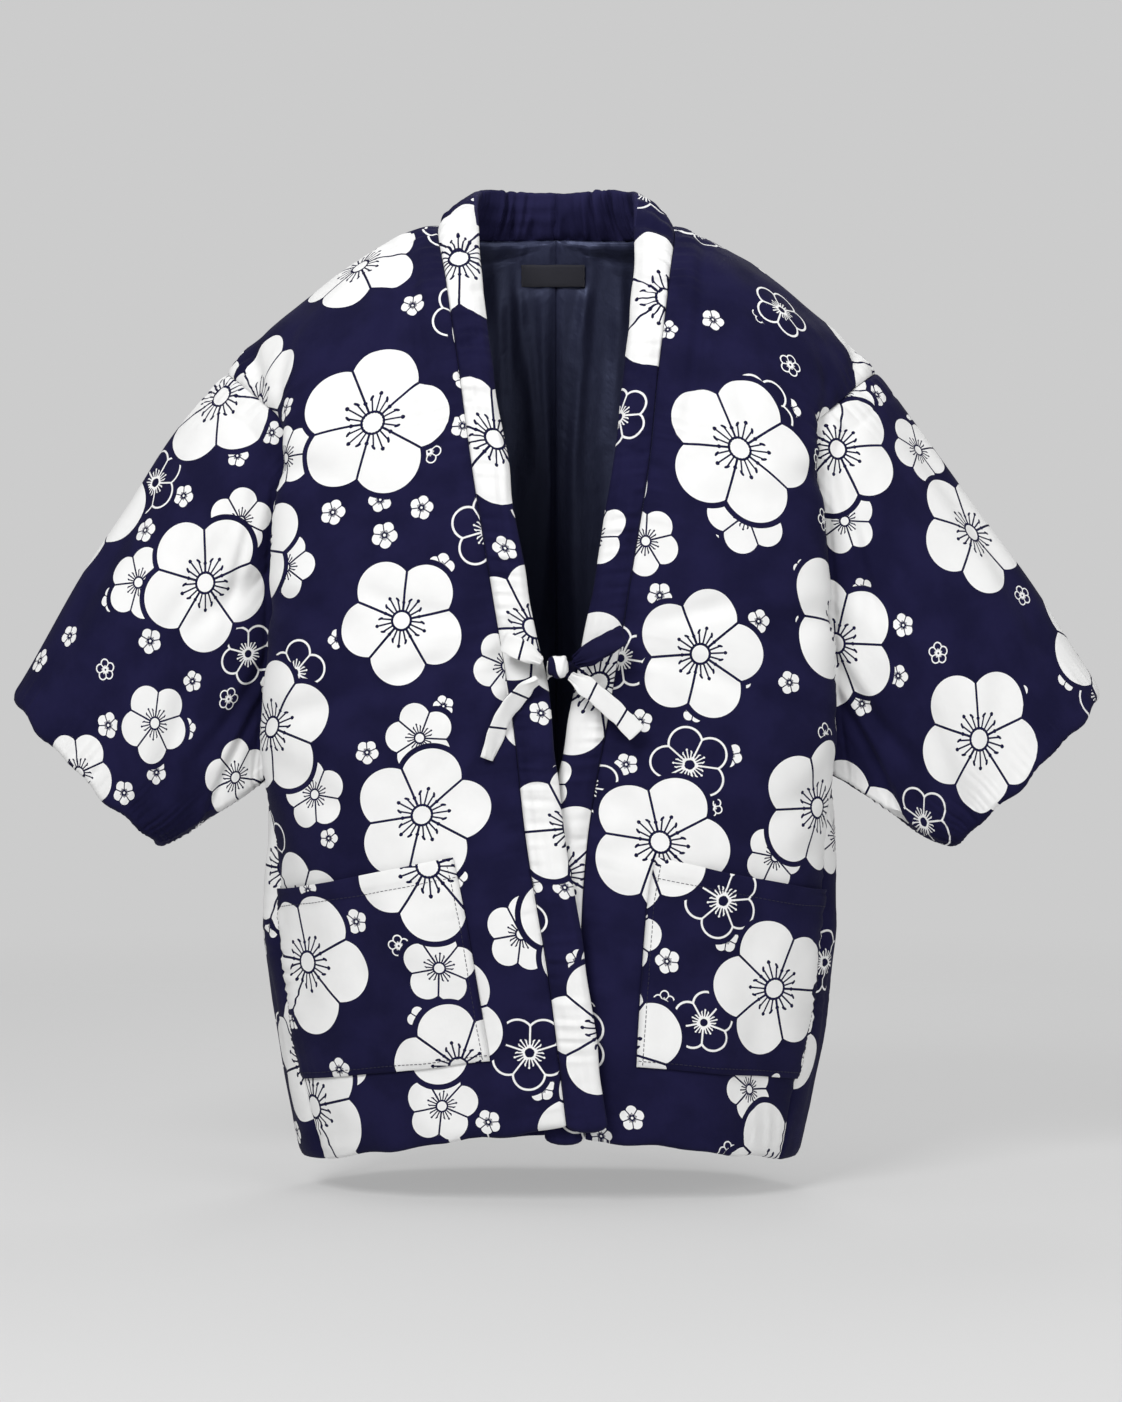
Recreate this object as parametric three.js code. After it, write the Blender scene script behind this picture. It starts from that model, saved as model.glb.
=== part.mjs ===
import * as THREE from "three";

// A wadded cotton hanten, the short padded house jacket, filled out as it is when worn and tied.
// It is cut from straight cloth: a body panel on each side that runs over the shoulder with no
// shoulder seam, a sleeve tube sewn to the panel's outer edge, a tapered gusset under each arm,
// a padded collar band from hem to hem round the neck, two patch pockets and a pair of ties.
//
// Frame: millimetres, +Z up, the fronts face -Y. The origin is between the shoulders at the level
// of the neck, where the wearer carries the jacket. "left" and "right" are as seen from the front,
// so left is -X. Tables give half widths, which side (-1 or 1) turns into X.

const LEFT = -1;
const RIGHT = 1;

// Cloth walls: two layers with cotton wadding, thin where they are sewn down.
const SEAM_GAP = 0.3;
const SEAM_WALL = 5;
const PADDED_WALL = 9;
const PUFF_REACH = 0.16;
const HEM_PUFF_ROWS = 6.4;
const COLLAR_THICKNESS = 14;
const COLLAR_ROUNDING = 0.3;
const LINING_THICKNESS = 1.5;
const POCKET_THICKNESS = 4;
const LAID_ON_GAP = 0.5;

// Grid: steps between two rows of a table, across a panel, along a sleeve and round the collar.
const STEPS_PER_ROW = 4;
const PANEL_COLUMNS = 10;
const GUSSET_COLUMNS = 4;
const SLEEVE_STEPS = 8;
const COLLAR_SHARES = [0, 0.12, 0.3, 0.6, 0.85, 0.97];

// Places in the tables below, counted in rows.
const ROW_UNDERARM_FRONT = 3;
const ROW_SHOULDER = 8;
const ROW_NECK_BACK = 10;
const ROW_UNDERARM_BACK = 13;
const ROW_HEM_BACK = 16;

// The same places, counted in grid steps.
const UNDERARM_FRONT_STEP = ROW_UNDERARM_FRONT * STEPS_PER_ROW;
const SHOULDER_STEP = ROW_SHOULDER * STEPS_PER_ROW;
const NECK_BACK_STEP = ROW_NECK_BACK * STEPS_PER_ROW;
const UNDERARM_BACK_STEP = ROW_UNDERARM_BACK * STEPS_PER_ROW;
const HEM_BACK_STEP = ROW_HEM_BACK * STEPS_PER_ROW;

// Collar band, from the front hem up to the neck and round to the centre back. The seam joins it to
// the panel and the edge is free. skew moves both sides' X, lap is how far the left front lies
// in front of the right one, half each, and hitch is how much higher the left front hangs, half each.
const COLLAR_ROWS = [
  // seamX edgeX  skew   lap hitch seamY seamZ edgeY edgeZ
  [8.5, -27.5, 17.5, 9, 7, -132, -808, -132, -808], // front hem
  [14, -21, 7.5, 9, 2, -134, -676, -134, -676], // thigh
  [27, -8, 1, 9, 0, -134, -554, -134, -554], // pocket mouth
  [43, 8, 4, 6, 0, -131, -440, -131, -441], // ties
  [61, 28, 4, 1, 0, -127, -330, -125, -332], // ribs
  [78, 45, 4, 0, 0, -118, -225, -114, -229], // chest
  [89, 58, 2.5, 0, 0, -98, -135, -92, -137], // upper chest
  [101, 68, 1.5, 0, 0, -58, -50, -50, -46], // front of the shoulder
  [107, 72, 0, 0, 0, -2, 5, 4, 30], // side of the neck
  [80, 62, 0, 0, 0, 62, 4, 46, 48], // back of the neck
  [0, 0, 0, 0, 0, 88, 7, 71, 50], // centre back
];

// Centre back seam below the collar, to the hem.
const BACK_SEAM_ROWS = [
  // y     z
  [122, -140], // shoulder blades
  [133, -280],
  [137, -420],
  [137, -570],
  [135, -705],
  [132, -842], // hem
];

// Body panel sections, from the front hem over the shoulder to the back hem. The edge is the side
// seam, to the gusset and then the sleeve, and the corner is where the section's two ends aim.
const PANEL_ROWS = [
  // cornerX cornerY cornerZ edgeX edgeY edgeZ
  [150, -138, -822, 207, -52, -842], // front hem
  [176, -142, -698, 236, -46, -702], // thigh
  [205, -144, -592, 246, -40, -600], // pocket mouth
  [296, -132, -476, 250, -28, -488], // underarm, front
  [296, -130, -372, 243, -45, -390], // ribs
  [284, -126, -268, 238, -60, -290], // chest
  [258, -116, -172, 234, -75, -195], // front of the armhole
  [222, -82, -62, 268, -50, -153], // front of the shoulder
  [198, 0, -20, 298, 0, -128], // shoulder
  [224, 88, -58, 272, 50, -150], // back of the shoulder
  [190, 134, -80, 252, 75, -195], // back yoke
  [268, 138, -222, 246, 62, -290], // shoulder blade
  [292, 136, -342, 247, 46, -390], // back ribs
  [292, 136, -464, 250, 28, -488], // underarm, back
  [205, 148, -590, 246, 40, -600], // waist
  [176, 147, -704, 236, 46, -706], // hip
  [150, 144, -848, 207, 52, -846], // back hem
];
const PANEL_SKEW = -5;
const AIM_AT_CENTRE = 0.6;
const AIM_AT_SIDE = 0.7;

// Widest reach of the gusset, from the hem up to the underarm.
const GUSSET_REACH = [228, 255, 262, 254];

// Sleeve: the cuff is an oval between its top and bottom corners.
const CUFF_TOP = new THREE.Vector3(499, 0, -424);
const CUFF_BOTTOM = new THREE.Vector3(361, 0, -562);
const CUFF_HALF_DEPTH = 60;
const UNDERARM_SHARE = 0.1;
const SLEEVE_SWELL = 8;
const UNDERSLEEVE_SWELL = 3;

// Pockets, as rows and columns of the front panel.
const POCKET_BOTTOM_ROW = 0.5;
const POCKET_MOUTH_ROW = 2;
const POCKET_FIRST_COLUMN = 2;
const POCKET_SIDE_CLEARANCE = 2;

// Back lining, from the shoulder down to the hem: the columns of the panel that it covers.
const LINING_COLUMNS = 8;
const LINING_CLEARANCE = 1.5;

// Blank woven label under the collar, leaning as the lining behind it does.
const LABEL_WIDTH = 60;
const LABEL_HEIGHT = 21;
const LABEL_THICKNESS = 1;
const LABEL_CENTRE = new THREE.Vector3(-3, 88.5, -26);
const LABEL_LEAN = 0.25;

// Ties: a flat tube of cloth, tied in a bow in front of the collar.
const TIE_WIDTH = 20;
const TIE_THICKNESS = 3;
const TIE_STEPS = 10;
const KNOT_CENTRE = new THREE.Vector3(2, -154, -399);
const KNOT_RADII = new THREE.Vector3(13, 9, 12);

// Each stretch of the ties that shows: the middle of its path, and the direction of its width at
// the start and at the end. Roots come out from under the collar's free edge.
const TIE_STRETCHES = [
  {
    name: "tie_root_left",
    path: [[-7, -134, -402], [-5, -139, -402], [-2, -143.2, -402]],
    width: [[0, 0, 1], [0, 0, 1]],
  },
  {
    name: "tie_root_right",
    path: [[16, -128, -402], [12, -136, -402], [6, -143.2, -402]],
    width: [[0, 0, 1], [0, 0, 1]],
  },
  {
    name: "tie_loop_left",
    path: [
      [-13, -160, -394],
      [-30, -164, -385],
      [-43, -158, -378],
      [-44, -151, -377],
      [-30, -147.8, -384],
      [-13, -149.5, -395],
    ],
    width: [[0.3, 0, 1], [0.5, 0, 1]],
  },
  {
    name: "tie_loop_right",
    path: [
      [17, -160, -393],
      [36, -164, -383],
      [56, -158, -373],
      [57, -150, -372],
      [36, -146, -386],
      [17, -150, -397],
    ],
    width: [[-0.3, 0, 1], [-0.5, 0, 1]],
  },
  {
    name: "tie_tail_left",
    path: [[-16, -154, -411], [-29, -152, -421], [-47, -149, -445], [-60, -149, -480]],
    width: [[-0.6, 0.2, 0.8], [-0.9, 0.3, 0.35]],
  },
  {
    name: "tie_tail_right",
    path: [[13, -155, -407], [30, -152, -419], [52, -147, -438], [71, -143, -457]],
    width: [[0.7, 0, 0.8], [0.7, 0, 0.8]],
  },
];

const NAVY = new THREE.MeshStandardMaterial({ color: 0x1c1a3e, roughness: 0.85, metalness: 0 });
const SATIN = new THREE.MeshStandardMaterial({ color: 0x1f2638, roughness: 0.45, metalness: 0 });
const LABEL_CLOTH = new THREE.MeshStandardMaterial({ color: 0x15161f, roughness: 0.7, metalness: 0 });

/** A curve through the points, read by counting rows from 0. */
function rowCurve(points) {
  const curve = new THREE.CatmullRomCurve3(points, false, "catmullrom", 0.5);
  const lastRow = points.length - 1;
  return (row) => curve.getPoint(row / lastRow);
}

/** Unit vector along a row curve. */
function alongCurve(curve, row) {
  const step = 0.02;
  return curve(row + step).sub(curve(row - step)).normalize();
}

/** Seam, free edge and outward direction of the collar band at any row of its table. */
function makeCollarLine(side) {
  const seamAt = ([seamX, , skew, lap, hitch, seamY, seamZ]) =>
    new THREE.Vector3(side * seamX + skew, seamY + side * lap, seamZ - side * hitch);
  const edgeAt = ([, edgeX, skew, lap, hitch, , , edgeY, edgeZ]) =>
    new THREE.Vector3(side * edgeX + skew, edgeY + side * lap, edgeZ - side * hitch);
  const pastCentre = COLLAR_ROWS[ROW_NECK_BACK - 1];
  const mirrored = (point) => new THREE.Vector3(-point.x, point.y, point.z);
  const seam = rowCurve([...COLLAR_ROWS.map(seamAt), mirrored(seamAt(pastCentre))]);
  const edge = rowCurve([...COLLAR_ROWS.map(edgeAt), mirrored(edgeAt(pastCentre))]);
  const across = (row) => edge(row).sub(seam(row)).normalize();
  const outward = (row) => {
    const start = Math.max(row, 0.02);
    return across(row).cross(alongCurve(seam, start)).multiplyScalar(-side).normalize();
  };
  return { seam, edge, across, outward };
}

/** Outer edge of a body panel at the collar and down the centre back seam. */
function makeCentreEdge(side, collar) {
  const atCollar = (row) => collar.seam(row).addScaledVector(collar.outward(row), SEAM_WALL / 2);
  const backSeam = rowCurve([
    atCollar(ROW_NECK_BACK),
    ...BACK_SEAM_ROWS.map(([y, z]) => new THREE.Vector3(0, y, z)),
  ]);
  return (row) => (row <= ROW_NECK_BACK ? atCollar(row) : backSeam(row - ROW_NECK_BACK));
}

/** Point of a body panel's outer face: a Bezier section from the centre edge to the side edge. */
function makePanelSurface(side, collar) {
  const place = (x, y, z) => new THREE.Vector3(side * x + PANEL_SKEW, y, z);
  const centre = makeCentreEdge(side, collar);
  const corner = rowCurve(PANEL_ROWS.map(([x, y, z]) => place(x, y, z)));
  const edge = rowCurve(PANEL_ROWS.map(([, , , x, y, z]) => place(x, y, z)));
  const surface = (row, across) => {
    const start = centre(row);
    const end = edge(row);
    const aim = corner(row);
    const section = new THREE.CubicBezierCurve3(
      start,
      start.clone().lerp(aim, AIM_AT_CENTRE),
      end.clone().lerp(aim, AIM_AT_SIDE),
      end,
    );
    return section.getPoint(across);
  };
  return { surface, edge };
}

/** Rows and columns of points, worked out by a function of both counts. */
function makeGrid(rowCount, columnCount, pointAt) {
  return Array.from({ length: rowCount + 1 }, (_, i) =>
    Array.from({ length: columnCount + 1 }, (_, j) => pointAt(i, j)),
  );
}

/** Unit normals of a grid: the cross product of its column and row directions, times the sign. */
function gridNormals(grid, sign, closedRound = false) {
  const lastRow = grid.length - 1;
  const lastColumn = grid[0].length - 1;
  return makeGrid(lastRow, lastColumn, (i, j) => {
    const atSeam = closedRound && (j === 0 || j === lastColumn);
    const before = atSeam ? lastColumn - 1 : Math.max(j - 1, 0);
    const after = atSeam ? 1 : Math.min(j + 1, lastColumn);
    const acrossStep = grid[i][after].clone().sub(grid[i][before]);
    const alongStep = grid[Math.min(i + 1, lastRow)][j].clone().sub(grid[Math.max(i - 1, 0)][j]);
    return acrossStep.cross(alongStep).multiplyScalar(sign).normalize();
  });
}

/** Quarter of a sine, from 0 at 0 to 1 at 1, and 1 from there on. */
function rise(share) {
  return share >= 1 ? 1 : Math.sin((share * Math.PI) / 2);
}

/** 0 at both edges of a piece, rising to 1 at PUFF_REACH of its width. */
function puff(share) {
  return rise(Math.min(share, 1 - share) / PUFF_REACH);
}

/** Closed body between an outer and an inner grid. A grid closed round has no side rims. */
function shellGeometry(outer, inner, closedRound = false) {
  const rowCount = outer.length;
  const columnCount = closedRound ? outer[0].length - 1 : outer[0].length;
  const positions = [];
  [outer, inner].forEach((grid) =>
    grid.forEach((row) =>
      row.slice(0, columnCount).forEach((point) => positions.push(point.x, point.y, point.z)),
    ),
  );
  const outerIndex = (i, j) => i * columnCount + (j % columnCount);
  const innerIndex = (i, j) => rowCount * columnCount + outerIndex(i, j);
  const faces = [];
  const quad = (a, b, c, d) => faces.push(a, b, c, a, c, d);
  const cells = closedRound ? columnCount : columnCount - 1;
  for (let i = 0; i < rowCount - 1; i += 1) {
    for (let j = 0; j < cells; j += 1) {
      quad(outerIndex(i, j), outerIndex(i, j + 1), outerIndex(i + 1, j + 1), outerIndex(i + 1, j));
      quad(innerIndex(i, j), innerIndex(i + 1, j), innerIndex(i + 1, j + 1), innerIndex(i, j + 1));
    }
  }
  for (let j = 0; j < cells; j += 1) {
    const last = rowCount - 1;
    quad(outerIndex(0, j), innerIndex(0, j), innerIndex(0, j + 1), outerIndex(0, j + 1));
    quad(outerIndex(last, j), outerIndex(last, j + 1), innerIndex(last, j + 1), innerIndex(last, j));
  }
  for (let i = 0; i < rowCount - 1 && !closedRound; i += 1) {
    const last = columnCount - 1;
    quad(outerIndex(i, 0), outerIndex(i + 1, 0), innerIndex(i + 1, 0), innerIndex(i, 0));
    quad(innerIndex(i, last), innerIndex(i + 1, last), outerIndex(i + 1, last), outerIndex(i, last));
  }
  return closedGeometry(positions, faces);
}

/** Geometry of one closed body, with its faces turned outwards. */
function closedGeometry(positions, faces) {
  const corner = (index) => new THREE.Vector3().fromArray(positions, 3 * index);
  let volume = 0;
  for (let f = 0; f < faces.length; f += 3) {
    volume += corner(faces[f]).dot(corner(faces[f + 1]).cross(corner(faces[f + 2])));
  }
  if (volume < 0) {
    faces.reverse();
  }
  const geometry = new THREE.BufferGeometry();
  geometry.setAttribute("position", new THREE.Float32BufferAttribute(positions, 3));
  geometry.setIndex(faces);
  geometry.computeVertexNormals();
  return geometry;
}

function namedMesh(name, geometry, material) {
  const mesh = new THREE.Mesh(geometry, material);
  mesh.name = name;
  return mesh;
}

/** Moves a seam's two points apart from the neighbour's, square to the seam's own wall. */
function partSeam(outerPoint, innerPoint, direction) {
  outerPoint.addScaledVector(direction, SEAM_GAP / 2);
  innerPoint.addScaledVector(direction, SEAM_GAP / 2);
}

/** Direction square to a seam wall, towards the panel that the interior point belongs to. */
function awayFromSeam(before, after, inward, seamPoint, interior) {
  const square = after.clone().sub(before).cross(inward).normalize();
  const towards = interior.clone().sub(seamPoint);
  return square.multiplyScalar(square.dot(towards) < 0 ? -1 : 1);
}

/** The base faces of one side: body panel, gusset and sleeve, on shared seam points, with normals. */
function makeSideFaces(side) {
  const collar = makeCollarLine(side);
  const panel = makePanelSurface(side, collar);
  const panelGrid = makeGrid(HEM_BACK_STEP, PANEL_COLUMNS, (i, j) =>
    panel.surface(i / STEPS_PER_ROW, j / PANEL_COLUMNS),
  );

  const reach = rowCurve(GUSSET_REACH.map((x) => new THREE.Vector3(side * x + PANEL_SKEW, 0, 0)));
  const gussetGrid = makeGrid(UNDERARM_FRONT_STEP, GUSSET_COLUMNS, (i, j) => {
    const row = ROW_UNDERARM_FRONT - i / STEPS_PER_ROW;
    const share = j / GUSSET_COLUMNS;
    const front = panel.edge(row);
    const point = front.clone().lerp(panel.edge(ROW_HEM_BACK - row), share);
    const bow = 1 - (2 * share - 1) ** 2;
    point.x += (reach(row).x - front.x) * bow;
    return point;
  });

  const armhole = makeArmhole(panel.edge, gussetGrid[0]);
  const sleeveGrid = makeSleeveGrid(side, armhole);
  return {
    collar,
    panelGrid,
    gussetGrid,
    sleeveGrid,
    panelNormals: gridNormals(panelGrid, side),
    gussetNormals: gridNormals(gussetGrid, -side),
    sleeveNormals: gridNormals(sleeveGrid, side, true),
  };
}

/** Ring round the armhole, from the shoulder down the front, over the gusset and up the back. */
function makeArmhole(panelEdge, gussetTop) {
  const steps = SHOULDER_STEP - UNDERARM_FRONT_STEP;
  const front = Array.from({ length: steps }, (_, k) => ({
    point: panelEdge(ROW_SHOULDER - k / STEPS_PER_ROW),
    share: (k / steps) * (0.5 - UNDERARM_SHARE / 2),
  }));
  const under = gussetTop.slice(0, -1).map((point, k) => ({
    point: point.clone(),
    share: 0.5 + UNDERARM_SHARE * (k / GUSSET_COLUMNS - 0.5),
  }));
  const back = Array.from({ length: steps + 1 }, (_, k) => ({
    point: panelEdge(ROW_UNDERARM_BACK - k / STEPS_PER_ROW),
    share: 0.5 + UNDERARM_SHARE / 2 + (k / steps) * (0.5 - UNDERARM_SHARE / 2),
  }));
  return [...front, ...under, ...back];
}

/** Sleeve face: Bezier lines from each point of the armhole to the cuff's oval, swelled outwards. */
function makeSleeveGrid(side, armhole) {
  const cornerAt = (corner) => new THREE.Vector3(side * corner.x, corner.y, corner.z);
  const top = cornerAt(CUFF_TOP);
  const bottom = cornerAt(CUFF_BOTTOM);
  const centre = top.clone().add(bottom).divideScalar(2);
  const upward = top.clone().sub(centre);
  const lines = armhole.map(({ point, share }) => {
    const angle = 2 * Math.PI * share;
    const radial = upward.clone().multiplyScalar(Math.cos(angle));
    radial.y -= CUFF_HALF_DEPTH * Math.sin(angle);
    const cuff = centre.clone().add(radial);
    const underneath = (1 - Math.cos(angle)) / 2;
    const swell = THREE.MathUtils.lerp(SLEEVE_SWELL, UNDERSLEEVE_SWELL, underneath);
    radial.setLength(swell);
    return new THREE.CubicBezierCurve3(
      point,
      point.clone().lerp(cuff, 1 / 3).add(radial),
      cuff.clone().lerp(point, 1 / 3).add(radial),
      cuff,
    );
  });
  return makeGrid(SLEEVE_STEPS, armhole.length - 1, (i, j) => lines[j].getPoint(i / SLEEVE_STEPS));
}

/** Outer and inner faces of padded cloth: walls swell between the seams, on both faces. */
function padGrid(grid, normals, shareAt, seamInward) {
  const outer = makeGrid(grid.length - 1, grid[0].length - 1, (i, j) => grid[i][j].clone());
  const inner = makeGrid(grid.length - 1, grid[0].length - 1, (i, j) => {
    const fullness = shareAt(i, j);
    const wall = THREE.MathUtils.lerp(SEAM_WALL, PADDED_WALL, fullness);
    const inward = seamInward(i, j) ?? normals[i][j].clone().negate();
    outer[i][j].addScaledVector(normals[i][j], (wall - SEAM_WALL) / 2);
    return outer[i][j].clone().addScaledVector(inward, wall);
  });
  return { outer, inner };
}

/** Inward directions at the seams of one side, shared by the pieces that meet there. */
function makeSeamDirections(faces) {
  const { collar, panelNormals, gussetNormals, sleeveNormals } = faces;
  const lastRing = sleeveNormals[0].length - 1;
  const inwardOf = (...normals) => {
    const sum = new THREE.Vector3();
    normals.forEach((normal) => sum.sub(normal));
    return sum.normalize();
  };

  /** At the side edge of the panel's row i. */
  const side = (i) => {
    const meeting = [panelNormals[i][PANEL_COLUMNS]];
    if (i >= UNDERARM_FRONT_STEP && i <= UNDERARM_BACK_STEP) {
      const ringIndex = i <= SHOULDER_STEP ? SHOULDER_STEP - i : lastRing - (i - SHOULDER_STEP);
      meeting.push(sleeveNormals[0][ringIndex]);
    }
    if (i <= UNDERARM_FRONT_STEP) {
      meeting.push(gussetNormals[UNDERARM_FRONT_STEP - i][0]);
    }
    if (i >= UNDERARM_BACK_STEP) {
      meeting.push(gussetNormals[i - UNDERARM_BACK_STEP][GUSSET_COLUMNS]);
    }
    return inwardOf(...meeting);
  };

  /** At the top of the gusset's column j. */
  const underarm = (j) => {
    if (j === 0) {
      return side(UNDERARM_FRONT_STEP);
    }
    if (j === GUSSET_COLUMNS) {
      return side(UNDERARM_BACK_STEP);
    }
    return inwardOf(gussetNormals[0][j], sleeveNormals[0][SHOULDER_STEP - UNDERARM_FRONT_STEP + j]);
  };

  /** At the armhole, at the sleeve's column j. */
  const ring = (j) => {
    const frontSteps = SHOULDER_STEP - UNDERARM_FRONT_STEP;
    if (j <= frontSteps) {
      return side(SHOULDER_STEP - j);
    }
    if (j < frontSteps + GUSSET_COLUMNS) {
      return underarm(j - frontSteps);
    }
    return side(SHOULDER_STEP + lastRing - j);
  };

  /** At the collar seam and the centre back seam, at the panel's row i. */
  const centre = (i) =>
    i <= NECK_BACK_STEP ? collar.outward(i / STEPS_PER_ROW).negate() : new THREE.Vector3(0, -1, 0);

  return { side, underarm, ring, centre };
}

/** Outer and inner faces of a body panel. */
function padPanel(side, { collar, panelGrid, panelNormals }, seams) {
  const fullness = (i, j) => {
    const rowsFromHem = Math.min(i, HEM_BACK_STEP - i) / STEPS_PER_ROW;
    return rise(rowsFromHem / HEM_PUFF_ROWS) * puff(j / PANEL_COLUMNS);
  };
  const faces = padGrid(panelGrid, panelNormals, fullness, (i, j) => {
    if (j === 0) {
      return seams.centre(i);
    }
    return j === PANEL_COLUMNS ? seams.side(i) : null;
  });
  for (let i = 0; i <= HEM_BACK_STEP; i += 1) {
    if (i <= NECK_BACK_STEP) {
      const fromCollar = collar.across(i / STEPS_PER_ROW).negate();
      partSeam(faces.outer[i][0], faces.inner[i][0], fromCollar);
    }
    if (i >= NECK_BACK_STEP) {
      partSeam(faces.outer[i][0], faces.inner[i][0], new THREE.Vector3(side, 0, 0));
    }
    const before = panelGrid[Math.max(i - 1, 0)][PANEL_COLUMNS];
    const after = panelGrid[Math.min(i + 1, HEM_BACK_STEP)][PANEL_COLUMNS];
    const seamPoint = panelGrid[i][PANEL_COLUMNS];
    const interior = panelGrid[i][PANEL_COLUMNS - 1];
    const apart = awayFromSeam(before, after, seams.side(i), seamPoint, interior);
    partSeam(faces.outer[i][PANEL_COLUMNS], faces.inner[i][PANEL_COLUMNS], apart);
  }
  return faces;
}

/** Outer and inner faces of a gusset. */
function padGusset({ gussetGrid, gussetNormals }, seams) {
  const fullness = (i, j) => puff(j / GUSSET_COLUMNS) * puff(i / UNDERARM_FRONT_STEP);
  const seamAt = (i, j) =>
    j === 0 ? seams.side(UNDERARM_FRONT_STEP - i) : seams.side(UNDERARM_BACK_STEP + i);
  const faces = padGrid(gussetGrid, gussetNormals, fullness, (i, j) => {
    if (i === 0) {
      return seams.underarm(j);
    }
    return j === 0 || j === GUSSET_COLUMNS ? seamAt(i, j) : null;
  });
  [0, GUSSET_COLUMNS].forEach((j) => {
    const interiorColumn = j === 0 ? 1 : GUSSET_COLUMNS - 1;
    for (let i = 0; i <= UNDERARM_FRONT_STEP; i += 1) {
      const before = gussetGrid[Math.max(i - 1, 0)][j];
      const after = gussetGrid[Math.min(i + 1, UNDERARM_FRONT_STEP)][j];
      const interior = gussetGrid[i][interiorColumn];
      const apart = awayFromSeam(before, after, seamAt(i, j), gussetGrid[i][j], interior);
      partSeam(faces.outer[i][j], faces.inner[i][j], apart);
    }
  });
  for (let j = 0; j <= GUSSET_COLUMNS; j += 1) {
    const before = gussetGrid[0][Math.max(j - 1, 0)];
    const after = gussetGrid[0][Math.min(j + 1, GUSSET_COLUMNS)];
    const apart = awayFromSeam(before, after, seams.underarm(j), gussetGrid[0][j], gussetGrid[1][j]);
    partSeam(faces.outer[0][j], faces.inner[0][j], apart);
  }
  return faces;
}

/** Outer and inner faces of a sleeve. */
function padSleeve({ sleeveGrid, sleeveNormals }, seams) {
  const lastRing = sleeveGrid[0].length - 1;
  const fullness = (i) => puff(i / SLEEVE_STEPS);
  const faces = padGrid(sleeveGrid, sleeveNormals, fullness, (i, j) => (i === 0 ? seams.ring(j) : null));
  for (let j = 0; j <= lastRing; j += 1) {
    const before = sleeveGrid[0][j === 0 ? lastRing - 1 : j - 1];
    const after = sleeveGrid[0][j === lastRing ? 1 : j + 1];
    const apart = awayFromSeam(before, after, seams.ring(j), sleeveGrid[0][j], sleeveGrid[1][j]);
    partSeam(faces.outer[0][j], faces.inner[0][j], apart);
  }
  return faces;
}

/** Body, sleeve, gusset, collar, pocket and lining of one side. */
function makeSide(side, sideName) {
  const faces = makeSideFaces(side);
  const seams = makeSeamDirections(faces);
  const panel = padPanel(side, faces, seams);
  const gusset = padGusset(faces, seams);
  const sleeve = padSleeve(faces, seams);
  return [
    namedMesh(`body_${sideName}`, shellGeometry(panel.outer, panel.inner), NAVY),
    namedMesh(`gusset_${sideName}`, shellGeometry(gusset.outer, gusset.inner), NAVY),
    namedMesh(`sleeve_${sideName}`, shellGeometry(sleeve.outer, sleeve.inner, true), NAVY),
    namedMesh(`collar_${sideName}`, collarGeometry(side, faces.collar), NAVY),
    namedMesh(`pocket_${sideName}`, pocketGeometry(panel.outer, side), NAVY),
    namedMesh(`lining_back_${sideName}`, liningGeometry(panel.inner, side), SATIN),
  ];
}

/** Half thickness of the collar band at a share of its width: flat at the seam, round at the edge. */
function collarHalfThickness(share) {
  const fromSeam = rise(share / COLLAR_ROUNDING);
  const thickness = THREE.MathUtils.lerp(SEAM_WALL, COLLAR_THICKNESS, fromSeam);
  const fromEdge = Math.min((1 - share) / COLLAR_ROUNDING, 1);
  return (thickness / 2) * Math.sqrt(1 - (1 - fromEdge) ** 2);
}

/** Padded band on both sides of the surface between the collar's seam and its free edge. */
function collarGeometry(side, collar) {
  const face = (direction) =>
    makeGrid(NECK_BACK_STEP, COLLAR_SHARES.length - 1, (i, j) => {
      const row = i / STEPS_PER_ROW;
      const share = COLLAR_SHARES[j];
      const point = collar.seam(row).lerp(collar.edge(row), share);
      point.addScaledVector(collar.outward(row), direction * collarHalfThickness(share));
      if (j === 0) {
        point.addScaledVector(collar.across(row), SEAM_GAP / 2);
      }
      if (i === NECK_BACK_STEP) {
        point.x = (side * SEAM_GAP) / 2;
      }
      return point;
    });
  return shellGeometry(face(1), face(-1));
}

/** Patch pocket laid on the front panel, made from the panel's points moved out. */
function pocketGeometry(panelOuter, side) {
  const normals = gridNormals(panelOuter, side);
  const firstRow = POCKET_BOTTOM_ROW * STEPS_PER_ROW;
  const rowCount = POCKET_MOUTH_ROW * STEPS_PER_ROW - firstRow;
  const columnCount = PANEL_COLUMNS - POCKET_FIRST_COLUMN;
  const face = (distance) =>
    makeGrid(rowCount, columnCount, (i, j) => {
      const row = firstRow + i;
      const column = POCKET_FIRST_COLUMN + j;
      const point = panelOuter[row][column].clone().addScaledVector(normals[row][column], distance);
      if (column === PANEL_COLUMNS) {
        const inwards = panelOuter[row][column - 1].clone().sub(panelOuter[row][column]);
        point.add(inwards.setLength(POCKET_SIDE_CLEARANCE));
      }
      return point;
    });
  return shellGeometry(face(LAID_ON_GAP + POCKET_THICKNESS), face(LAID_ON_GAP));
}

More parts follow.
